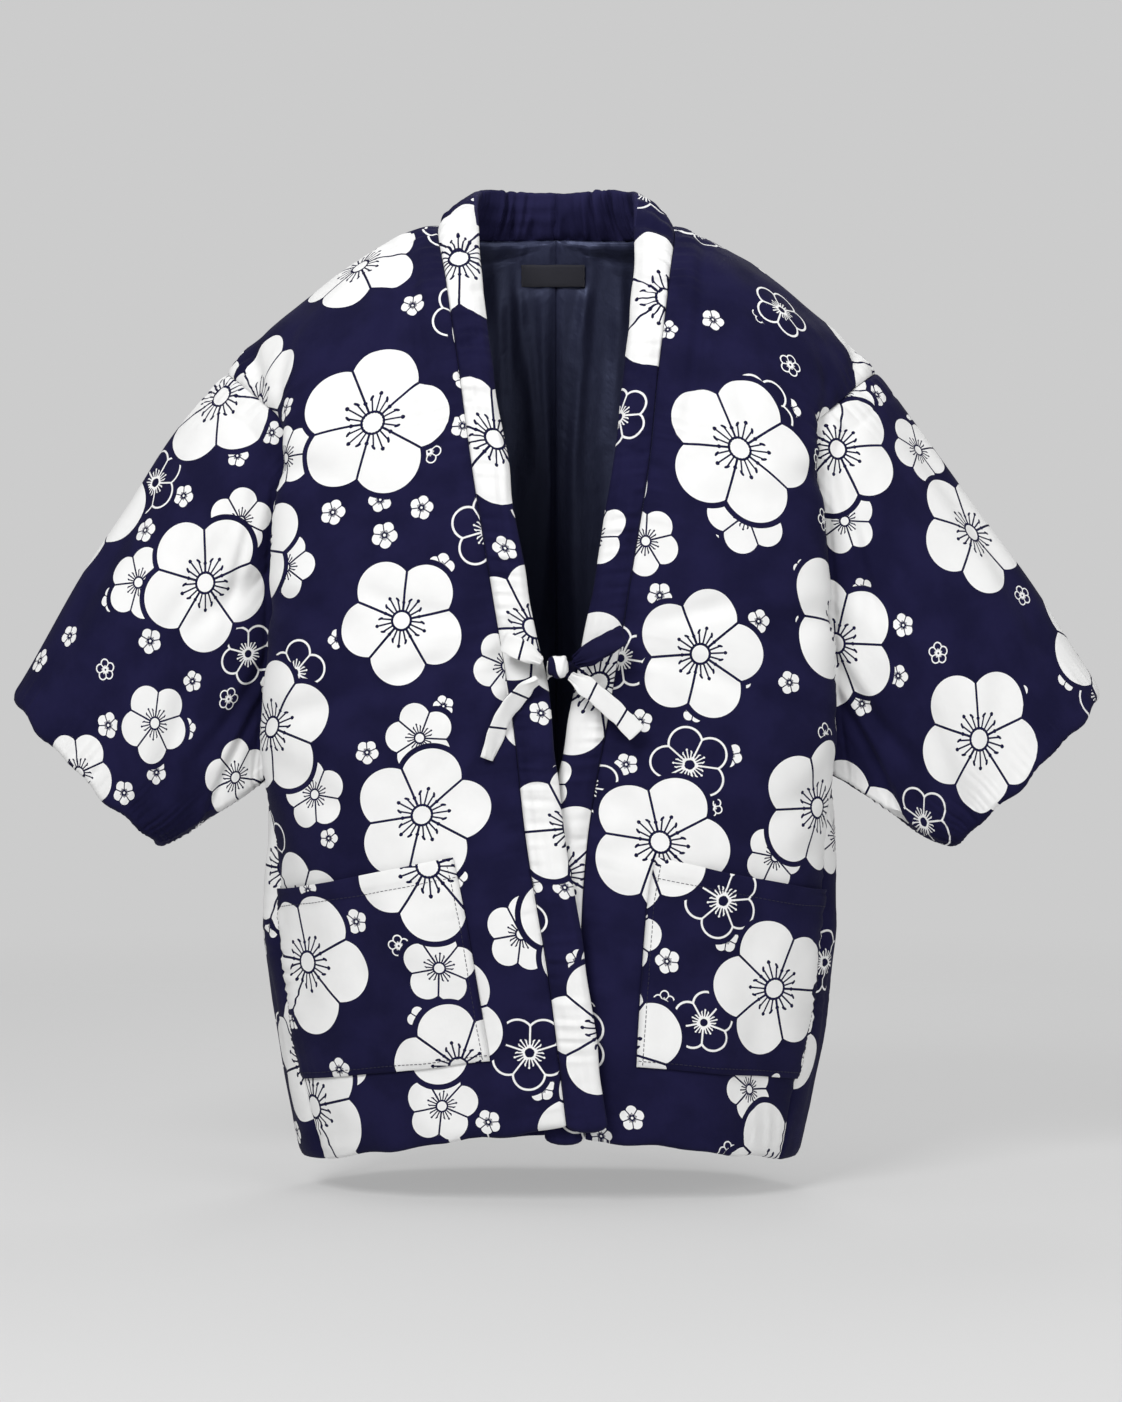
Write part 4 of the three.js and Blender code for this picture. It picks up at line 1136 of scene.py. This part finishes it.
def tube(name, rings, uv, materials, cap_steps=4, slots=None):
    """Closed piece from rings of points round a path, with domed ends.

    An end's rings shrink by cos and move out by sin times half the ring's thickness.
    slots, one for each point of the rings, gives the material of the face that starts there."""

    def dome(edge, beside):
        """Rings that close one end, outwards from its edge."""
        centre = edge.mean(axis=0)
        out = unit((edge - beside).mean(axis=0))
        depth = np.linalg.norm(edge - centre, axis=1).min()
        angle = (np.arange(1, cap_steps + 1) * np.pi / 2 / cap_steps)[:, None, None]
        shrink = np.maximum(np.cos(angle), 0.02)
        return centre + (edge - centre) * (1 - 0.98 * (1 - shrink)) + out * depth * np.sin(angle)

    rows = np.concatenate([dome(rings[0], rings[1])[::-1], rings, dome(rings[-1], rings[-2])])
    uv_rows = np.concatenate([np.repeat(uv[:1], cap_steps, 0), uv, np.repeat(uv[-1:], cap_steps, 0)])
    total, columns = rows.shape[:2]
    i, j = (x.ravel() for x in np.meshgrid(np.arange(total - 1), np.arange(columns), indexing="ij"))
    corners = [(i, j), (i, j + 1), (i + 1, j + 1), (i + 1, j)]
    faces = np.stack([a * columns + b % columns for a, b in corners], 1)
    corner_uv = np.stack([uv_rows[a, b] for a, b in corners], 1)
    k = np.arange(columns // 2 - 1)
    for row, turn in ((0, -1), (total - 1, 1)):
        ends = np.stack([k, k + 1, columns - 2 - k, columns - 1 - k], 1)[:, ::turn]
        faces = np.vstack([faces, row * columns + ends])
        corner_uv = np.vstack([corner_uv, uv_rows[row, ends]])
    face_slots = np.zeros(len(faces), int)
    if slots is not None:
        padded_slots = np.pad(slots.astype(int), ((cap_steps, cap_steps), (0, 0)), mode="edge")
        face_slots[:(total - 1) * columns] = padded_slots[:-1].ravel()
    return build_mesh(name, rows.reshape(-1, 3), faces, face_slots, corner_uv, materials)


for side_name, side in SIDES.items():
    seed = 100 + SEEDS[side_name]
    rows = np.linspace(0, ROW_NECK_BACK, 2 * ROW_NECK_BACK * STEPS + 1)
    seam, edge, across, outward = collar_frame(side, rows)
    band = np.linalg.norm(edge - seam, axis=-1)[:, None]
    angle = np.linspace(0, 2 * np.pi, COLLAR_AROUND, endpoint=False)[None]
    share = (1 - np.cos(angle)) / 2 + 0 * band
    face_side = np.sign(np.sin(angle)) * (np.abs(np.sin(angle)) > 1e-6) + 0 * band
    inner_face = face_side < 0
    along = run_lengths(seam[:, None], 0) + 0 * share
    from_back = along[-1:] - along
    from_seam = share * band
    from_edge = (1 - share) * band

    edge_share = pillow(1 - share, 0.45)
    thick = (COLLAR_EDGE + (COLLAR_HALF - COLLAR_EDGE) * pillow(share, 0.5)) * edge_share
    neck = smooth(rows - NECK_GATHER_ROW, 2.0)[:, None]
    ripple = gathers(along, from_seam + 2 * MM, seed, 1.3, 9, 13)
    ripple = ripple + neck * gathers(along, from_seam + 3 * MM, seed + 1, 3.4, 17, 23)
    ripple = ripple + gathers(along, from_edge + 3 * MM, seed + 2, 0.5, 12, 24)
    ripple = ripple + billow(along, 0.3 * share, seed + 3, 0.7, 140, 40)
    ripple = ripple + creases(from_back, from_seam, NECK_FOLDS[side_name]) * inner_face
    ripple = ripple + creases(along, from_seam, BAND_FOLDS[side_name]) * ~inner_face
    ripple = ripple * pillow(from_seam, 6 * MM)
    spread = face_side * np.maximum(thick + ripple * edge_share ** 0.5, COLLAR_LEAST)
    centre = seam[:, None] + (edge - seam)[:, None] * share[..., None]
    ring = centre + outward[:, None] * spread[..., None]

    # The free edge wanders, and is drawn in a little at the puckers inside the neck.
    wander = billow(along, 0 * along, seed + 4, 0.9, 110, 30)
    wander = wander + 0.22 * creases(from_back, 22 * MM + 0 * from_seam, NECK_FOLDS[side_name])
    wander = wander * smooth(from_seam, 20 * MM)
    off_seam = COLLAR_OFF_SEAM * (1 - smooth(from_seam, 4 * MM))
    ring = ring + across[:, None] * wander[..., None] + across[:, None] * off_seam[..., None]

    # The halves stand apart at the centre back, and each is puffed there too.
    ring[-1, :, 0] = side * COLLAR_HALF_GAP
    puff = pillow((ROW_NECK_BACK - rows) * COLLAR_ROW_PITCH + 1 * MM, 7 * MM)[:, None, None]
    ring = centre + (ring - centre) * (0.45 + 0.55 * puff)

    uv = np.stack([np.where(inner_face, COLLAR_TURN - from_seam, from_seam), along], -1)
    uv = uv + np.array(COLLAR_CUT[side_name])
    uv = np.concatenate([uv, uv[:, :1]], axis=1)
    # Inside the back neck the band is plain navy without print, and its lighter navy there is painted
    # light.
    plain_neck_painted_light = (rows[:, None] > NECK_CLOTH_ROW) & (inner_face | (share > 0.93))
    collar = tube(f"collar_{side_name}_cloth", ring, uv, [printed_cotton, painted_light_neck_navy], slots=plain_neck_painted_light)
    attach(collar, "root")
    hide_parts(f"collar_{side_name}")


# ---------------------------------------------------------------------------
# Pockets.
# A patch of the printed cotton on each front, sewn into the side seam, with its mouth turned in
# and topstitched 16 mm below the edge.
POCKET_ROWS = (0.5, 2.0)
POCKET_SHARE = 0.2
POCKET_WALL = 1.6 * MM
POCKET_TURN = 16 * MM
POCKET_OFF = 1.0 * MM
POCKET_SWELL = 3.4 * MM
POCKET_PUFF = 30 * MM
MOUTH_RISE = 1.0 * MM
MOUTH_GROOVE = 0.8 * MM
MOUTH_GROOVE_WIDTH = 1.4 * MM
POCKET_CUT = {"left": (0.95, 0.71), "right": (0.22, 1.05)}
STITCH_PITCH = 4.2 * MM
STITCH_MARGIN = 3 * MM
STITCH_SIZE = MM * np.array([1.5, 0.28, 0.22])
STITCH_SHAPE = np.array([
    [-1, -0.6, -1], [1, -0.6, -1], [1, 0.6, -1], [-1, 0.6, -1],
    [-0.8, -1, 1], [0.8, -1, 1], [0.8, 1, 1], [-0.8, 1, 1],
])
STITCH_FACES = np.array([
    [0, 3, 2, 1], [4, 5, 6, 7], [0, 1, 5, 4], [1, 2, 6, 5], [2, 3, 7, 6], [3, 0, 4, 7],
])
THREAD_TWIST = 0.5 * MM
THREAD_DARK = (0.005, 0.005, 0.014)
THREAD_LIGHT = (0.016, 0.015, 0.045)


def running_stitches(name, lines, material):
    """Small lozenges of thread at an even pitch along lines of points on a surface.

    Each lies along its line, half sunk: centre + 1.5 mm along, 0.28 mm across, 0.22 mm up."""
    centres, axes = [], []
    for points, normals in lines:
        length = run_lengths(points[:, None], 0)[:, 0]
        at = np.arange(STITCH_MARGIN, length[-1] - STITCH_MARGIN, STITCH_PITCH)

        def along(values, where):
            """Values at places along the line."""
            return np.stack([np.interp(where, length, values[:, k]) for k in range(3)], -1)

        ahead = unit(along(points, at + MM) - along(points, at - MM))
        up = along(normals, at)
        up = unit(up - ahead * np.sum(up * ahead, axis=1, keepdims=True))
        centres.append(along(points, at) + 0.1 * MM * up)
        axes.append(np.stack([ahead, np.cross(up, ahead), up], 1))
    centres, axes = np.vstack(centres), np.vstack(axes)
    points = centres[:, None] + np.einsum("ck,nkx->ncx", STITCH_SHAPE * STITCH_SIZE, axes)
    faces = (STITCH_FACES + 8 * np.arange(len(points))[:, None, None]).reshape(-1, 4)
    slots = np.zeros(len(faces), int)
    return build_mesh(name, points.reshape(-1, 3), faces, slots, np.zeros((len(faces), 4, 2)), [material])


def make_thread():
    """Navy sewing thread: twist lines across each stitch, from a sine of the place along it."""
    material, tree, shader = new_material("sewing_thread")
    x, y, z = split(tree, object_place(tree))
    slanted = calc(tree, "ADD", calc(tree, "ADD", x, y), z)
    twist = calc(tree, "SINE", calc(tree, "MULTIPLY", slanted, 2 * np.pi / THREAD_TWIST))
    dye = mix_colours(tree, remap(tree, twist, -1.0, 1.0), THREAD_DARK, THREAD_LIGHT)
    feed(tree, shader, Base_Color=dye, Roughness=0.7)
    bump(tree, shader, twist, 0.0001, 0.5)
    return material


stitch_thread = make_thread()

for side_name, side in SIDES.items():
    seed = 200 + SEEDS[side_name]
    outer = panel_outer[side_name]
    first = int(np.argmin(np.abs(close_set(PANEL_COLUMNS) - POCKET_SHARE)))
    low, high = (int(round(row * STEPS)) for row in POCKET_ROWS)
    patch = np.s_[low:high + 1, first:PANEL_COLUMNS - 2]
    under = outer[patch]
    normals = face_normals(outer, side)[patch]
    across = run_lengths(under, 1)
    up = run_lengths(under, 0)
    from_side = across[:, -1:] - across
    from_mouth = up[-1:] - up
    sewn = np.minimum(np.minimum(across, from_side), up)
    away = POCKET_OFF + POCKET_SWELL * pillow(sewn, POCKET_PUFF)
    away = away + gathers(up, across, seed, 0.6, 7, 11) + gathers(up, from_side, seed + 1, 0.6, 7, 11)
    away = away + gathers(across, up, seed + 2, 0.5, 7, 12)
    away = away + smooth(sewn, POCKET_PUFF) * billow(across, up, seed + 3, 0.9, 120, 40)
    # The turned mouth is double, with a groove where it is stitched.
    away = away + MOUTH_RISE * smooth(sewn, 15 * MM) * (from_mouth < POCKET_TURN)
    away = away - MOUTH_GROOVE * np.exp(-((from_mouth - POCKET_TURN) / MOUTH_GROOVE_WIDTH) ** 2)
    away = np.maximum(away, 0.5 * MM)
    face = under + normals * (away + POCKET_WALL)[..., None]
    back = under + normals * away[..., None]
    cut = np.array(POCKET_CUT[side_name])
    uv = np.stack([side * across + cut[0], -up + cut[1]], -1)
    pocket = shell(f"pocket_{side_name}_cloth", face, back, uv, [printed_cotton], True, True)
    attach(pocket, "root")
    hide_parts(f"pocket_{side_name}")

    # Running stitches down both sides, along the foot and along the turned mouth.
    turned = int(np.argmin(np.abs(from_mouth[:, 0] - POCKET_TURN)))
    sides_foot_mouth = (np.s_[:, 1], np.s_[:, -2], 1, turned)
    lines = [(face[line], normals[line]) for line in sides_foot_mouth]
    sewing = running_stitches(f"pocket_{side_name}_stitches", lines, stitch_thread)
    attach(sewing, "root")
    width, length = float(across[:, -1].mean()), float(up[-1].mean())


# ---------------------------------------------------------------------------
# Back lining.
# Navy satin, hung from the neck seam down to the hem in two lengths that meet in a centre seam.
# It is eased in at the neck, so it falls in soft upright folds.
LINING_SHARE = 0.8
LINING_WALL = 0.5 * MM
LINING_OFF = 1.0 * MM
LINING_NECK_REACH = 22 * MM
LINING_NECK_GAP = 1.2 * MM
LINING_CUT = (0.5, 1.0)
LABEL_CENTRE = MM * np.array([-3, 88.5, -26])
LINING_FOLDS = [
    # s0 t0 s1 t1 half width, height, bend; s is sideways from the centre seam, t down from the neck
    [-34, -25, -34, 125, 7.0, 3.0, -2],
    [-36, 40, -16, 230, 8.0, 3.0, 3],
    [-13, 30, -5, 250, 6.5, 2.6, -2],
    [-60, -20, -54, 170, 8.0, 2.2, 3],
    [33, -25, 12, 130, 6.5, 3.0, 3],
    [42, -25, 16, 250, 7.0, 2.6, -5],
    [62, -20, 48, 190, 8.0, 2.0, 4],
    [-5, 130, -26, 430, 10.0, 2.6, 6],
    [20, 160, 28, 470, 10.0, 2.6, -6],
    [-50, 120, -60, 440, 11.0, 2.4, 5],
    [62, 120, 70, 480, 12.0, 2.4, -5],
    [-90, 60, -110, 400, 13.0, 2.4, 8],
    [95, 60, 120, 420, 13.0, 2.4, -8],
    [-35, 430, -45, 780, 13.0, 2.2, 6],
    [40, 420, 52, 790, 13.0, 2.2, -6],
]


def evened(grid, reach=4):
    """Each point of a grid as the mean of the rows within its reach. The end rows stay."""
    rows = np.pad(grid, ((reach, reach), (0, 0), (0, 0)), mode="reflect", reflect_type="odd")
    return sum(rows[k:k + len(grid)] for k in range(2 * reach + 1)) / (2 * reach + 1)


def thrice_as_fine(grid, last):
    """A grid with three columns for each one up to its last, on straight lines between them."""
    finer = np.linspace(0, last, 3 * last + 1)
    whole = np.minimum(np.floor(finer).astype(int), last - 1)
    part = (finer - whole)[None, :, None]
    return grid[:, whole] * (1 - part) + grid[:, whole + 1] * part


for side_name, side in SIDES.items():
    seed = 300 + SEEDS[side_name]
    last = int(np.argmin(np.abs(close_set(PANEL_COLUMNS) - LINING_SHARE)))
    rows = np.arange(ROW_SHOULDER * STEPS, ROW_HEM_BACK * STEPS - 6)
    at_neck = rows <= ROW_NECK_BACK * STEPS
    seam_face = faces_of[side_name]["panel"]
    wadding = seam_face + evened(evened(panel_inner[side_name] - seam_face))
    under = thrice_as_fine(wadding[rows], last)
    normals = unit(thrice_as_fine(unit(evened(face_normals(wadding, side)))[rows], last))
    across = run_lengths(under, 1)
    down = run_lengths(under, 0)
    x, z = under[..., 0] / MM, under[..., 2] / MM
    from_neck = np.linalg.norm(under[:, :, None] - under[at_neck, 0], axis=-1).min(axis=-1)
    from_centre = smooth(across, 9 * MM)
    sewn_in = smooth(from_neck, 3 * MM)
    open_up = smooth(from_neck, LINING_NECK_REACH)

    # Soft upright waves, strongest at the neck, then the folds and the fine gathers at the seam.
    p = np.random.default_rng(seed).uniform(0, 2 * np.pi, 8)
    a = x + 7 * np.sin(z / 110 + p[0]) + 3 * np.sin(z / 47 + p[1])
    waves = np.sin(a / 6.4 + p[2] + 1.3 * np.sin(a / 21 + p[3]))
    waves = waves + 0.25 * np.sin(a / 3.1 + p[4] + 0.8 * np.sin(a / 9))
    fade = 0.35 + 0.65 * np.exp(np.minimum(z, 0) / 130)
    away = LINING_OFF + MM * (1.6 + 0.6 * waves * fade * (0.25 + 0.75 * open_up)) * from_centre
    away = away + creases(x * MM, -z * MM, LINING_FOLDS) * from_centre
    away = away + 0.35 * MM * np.sin(a / 1.9 + p[5]) * sewn_in * (1 - open_up)
    away = away + 3.4 * MM * sewn_in * (1 - pillow(from_neck, 17 * MM))
    off_x, off_z = x - LABEL_CENTRE[0] / MM, z - LABEL_CENTRE[2] / MM
    away = away * (1 - 0.8 * np.exp(-(off_x / 37) ** 6 - (off_z / 15) ** 6))
    away = np.maximum(away, 0.4 * MM)
    face = under - normals * (away + LINING_WALL)[..., None]
    back = under - normals * away[..., None]
    into_lining = unit(face[at_neck, 1] - face[at_neck, 0])
    for layer in (face, back):
        layer[at_neck, 0] += LINING_NECK_GAP * into_lining
        layer[~at_neck, 0, 0] = 0
    uv = np.stack([side * across, -down], -1) + np.array(LINING_CUT)
    lining = shell(f"lining_back_{side_name}_cloth", back, face, uv, [lining_satin])
    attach(lining, "root")
    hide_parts(f"lining_back_{side_name}")
    width, length = float(across[:, -1].max()), float(down[-1].max())


# ---------------------------------------------------------------------------
# Label.
# A small dark woven patch under the collar, left blank, sewn down on its four sides.
LABEL_SIZE = (60 * MM, 21 * MM)
LABEL_LEAN = 0.25
LABEL_RIB = 0.8 * MM
LABEL_BORDER = (0.036, 0.036, 0.045)
LABEL_MIDDLE = (0.032, 0.032, 0.041)


def make_label():
    """A plate whose face bulges by (1 - u^6)(1 - v^6), wavy at its edge, with its foot back."""
    u, v = np.meshgrid(np.linspace(-1, 1, 61), np.linspace(-1, 1, 25), indexing="xy")
    x = LABEL_SIZE[0] / 2 * u * (1 + 0.006 * np.sin(9 * v))
    z = LABEL_SIZE[1] / 2 * v * (1 + 0.012 * np.sin(7 * u))
    swell = (1 - u ** 6) * (1 - v ** 6)
    cos, sin = np.cos(LABEL_LEAN), np.sin(LABEL_LEAN)
    lean = np.array([[1, 0, 0], [0, cos, sin], [0, -sin, cos]])
    wavy = 0.4 * MM * np.sin(4 * u)
    front = np.stack([x, -0.2 * MM - 0.5 * MM * swell + wavy, z], -1) @ lean + LABEL_CENTRE
    rear = np.stack([x, 0.25 * MM + wavy, z], -1) @ lean + LABEL_CENTRE
    return front, rear, np.stack([x, z], -1)


def make_label_weave():
    """Dark ribbed weave: a sine up the label, and a border from the distance to the nearest edge."""
    material, tree, shader = new_material("label_cloth")
    x, y, _ = split(tree, cloth_place(tree))
    rib = calc(tree, "SINE", calc(tree, "MULTIPLY", y, 2 * np.pi / LABEL_RIB))
    edge_x = calc(tree, "SUBTRACT", LABEL_SIZE[0] / 2, calc(tree, "ABSOLUTE", x))
    edge_y = calc(tree, "SUBTRACT", LABEL_SIZE[1] / 2, calc(tree, "ABSOLUTE", y))
    border = remap(tree, calc(tree, "MINIMUM", edge_x, edge_y), 0.0012, 0.0022)
    dye = mix_colours(tree, border, LABEL_BORDER, LABEL_MIDDLE)
    feed(tree, shader, Base_Color=dye, Roughness=0.8, Specular_IOR_Level=0.2)
    bump(tree, shader, calc(tree, "ADD", rib, calc(tree, "MULTIPLY", border, 2.0)), 0.0001, 0.8)
    return material


front, rear, uv = make_label()
label = shell("label_cloth", front, rear, uv, [make_label_weave()])
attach(label, "root")
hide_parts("label")


# ---------------------------------------------------------------------------
# Ties.
# Two flat tubes of the same cotton, cut where its print is all white or all navy, sewn under the
# collar's free edges and tied in a bow: a knot, two loops and two loose tails.
TIE_WIDTH = 17.5 * MM
TIE_THICKNESS = 3 * MM
TIE_PINCH = 16 * MM
KNOT_CENTRE = MM * np.array([2, -154, -399])
KNOT_RADII = MM * np.array([13, 9, 12])
ACROSS_ROOT = (0, 0, 1)
TIES = {
    # name: path, width direction at the start and end, pinch at the start and end
    "tie_root_left": (
        [[-7, -134, -402], [-5, -139, -402], [-1, -144.5, -402]], ACROSS_ROOT, ACROSS_ROOT, 1.0, 0.6),
    "tie_root_right": (
        [[16, -128, -402], [12, -136, -402], [6, -143.2, -402]], ACROSS_ROOT, ACROSS_ROOT, 1.0, 0.6),
    "tie_loop_left": (
        [[-13, -160, -394], [-30, -164, -385], [-43, -158, -378], [-44, -151, -377], [-30, -147.8, -384],
         [-13, -149.5, -395]],
        (0.3, 0, 1), (0.5, 0, 1), 0.5, 0.5),
    "tie_loop_right": (
        [[17, -160, -393], [36, -164, -383], [56, -158, -373], [57, -150, -372], [36, -146, -386],
         [17, -150, -397]],
        (-0.3, 0, 1), (-0.5, 0, 1), 0.5, 0.5),
    "tie_tail_left": (
        [[-16, -154, -411], [-29, -152, -421], [-47, -149, -445], [-60, -149, -480]],
        (-0.7, -0.5, 0.5), (-0.75, -0.55, 0.35), 0.5, 0.8),
    "tie_tail_right": (
        [[13, -155, -407], [30, -152, -419], [52, -147, -438], [71, -143, -457]],
        (0.7, 0, 0.8), (0.7, 0, 0.8), 0.5, 1.0),
}

tie_navy = make_plain_cotton("navy_cotton", NAVY, NAVY_WORN)
tie_white = make_plain_cotton("white_cotton", WHITE, WHITE_SHADE, NAVY, ((0.020, 0.001), (0.055, 0.001)))
knot_cotton = make_plain_cotton("knot_cotton", WHITE, WHITE_SHADE, NAVY, ((0.031, 0.0105),))
NAVY_TIES = ("tie_root_right", "tie_loop_right")


def strip(path, width_start, width_end, pinch_start, pinch_end, seed):
    """Rings of a flat strip along a path: an oval TIE_WIDTH by TIE_THICKNESS, pinched at the knot,
    with a shallow crease down the middle and uneven edges."""
    count = len(path) - 1
    rows = np.linspace(0, count, 16 * count + 1)
    middle = row_curve(MM * np.array(path))(rows)
    tangent = unit(np.gradient(middle, axis=0))
    t = (rows / count)[:, None]
    width = np.array(width_start) * (1 - t) + np.array(width_end) * t
    width = unit(width - tangent * np.sum(width * tangent, axis=1, keepdims=True))
    facing = np.cross(width, tangent)
    length = run_lengths(middle[:, None], 0)
    pinch = np.minimum(
        pinch_start + (1 - pinch_start) * smooth(length, TIE_PINCH),
        pinch_end + (1 - pinch_end) * smooth(length[-1] - length, TIE_PINCH),
    )
    angle = np.linspace(0, 2 * np.pi, 28, endpoint=False)[None]
    u = np.sign(np.cos(angle)) * np.abs(np.cos(angle)) ** 0.75
    v = np.sign(np.sin(angle)) * np.abs(np.sin(angle)) ** 0.7
    p = np.random.default_rng(seed).uniform(0, 6, 3)
    edge = 1 + 0.04 * np.sin(length / (5 * MM) + p[0]) + 0.03 * np.sin(length / (2.6 * MM) + p[1])
    crease = (1 - pinch) * 4 * MM * np.cos(3.2 * u * np.pi)
    crease = crease + 0.4 * MM * np.sin(3 * u + length / (7 * MM) + p[2])
    half = TIE_WIDTH / 2 * pinch * edge
    thick = TIE_THICKNESS / 2 * (1 + 0.5 * (1 - pinch)) * (0.75 + 0.25 * np.sin(4 * u + length / (9 * MM)))
    rings = middle[:, None] + width[:, None] * (half * u)[..., None]
    rings = rings + facing[:, None] * (thick * v + crease)[..., None]
    around = np.where(v >= 0, TIE_WIDTH / 2 * u, TIE_WIDTH - TIE_WIDTH / 2 * u)
    uv = np.stack([around + 0 * length, length + 0 * around], -1)
    return rings, np.concatenate([uv, uv[:, :1]], axis=1), length


for order, (name, shape) in enumerate(TIES.items()):
    rings, uv, length = strip(*shape, 400 + order)
    cotton = tie_navy if name in NAVY_TIES else tie_white
    tie = tube(f"{name}_cloth", rings, uv, [cotton], 3)
    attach(tie, "root")
    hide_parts(name)


def make_knot():
    """The wrap of the knot: an oval ball whose girth is lined with folds, radius
    1 + 0.07 cos(folds) + 0.035 cos(cross folds), squeezed where the loops leave it."""
    across = np.linspace(0.02, np.pi - 0.02, 41)
    round_it = np.linspace(-np.pi, np.pi, 56, endpoint=False)
    v, u = np.meshgrid(across, round_it, indexing="ij")
    wrap = 1 + 0.07 * np.cos(5 * v + 1.1 * np.sin(u)) * np.sin(v) + 0.035 * np.cos(9 * v + 2 * u)
    wrap = wrap * (1 - 0.16 * np.cos(v) ** 4)
    direction = np.stack([np.cos(v), -np.sin(v) * np.cos(u), np.sin(v) * np.sin(u)], -1)
    direction = np.sign(direction) * np.abs(direction) ** 0.8
    rings = KNOT_CENTRE + direction * wrap[..., None] * KNOT_RADII * np.array([0.8, 0.96, 0.82])
    uv = np.stack([u * 0.011, v * 0.012], -1)
    return rings, np.concatenate([uv, uv[:, :1]], axis=1)


rings, uv = make_knot()
knot = tube("tie_knot_cloth", rings, uv, [knot_cotton], 1)
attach(knot, "root")
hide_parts("tie_knot")
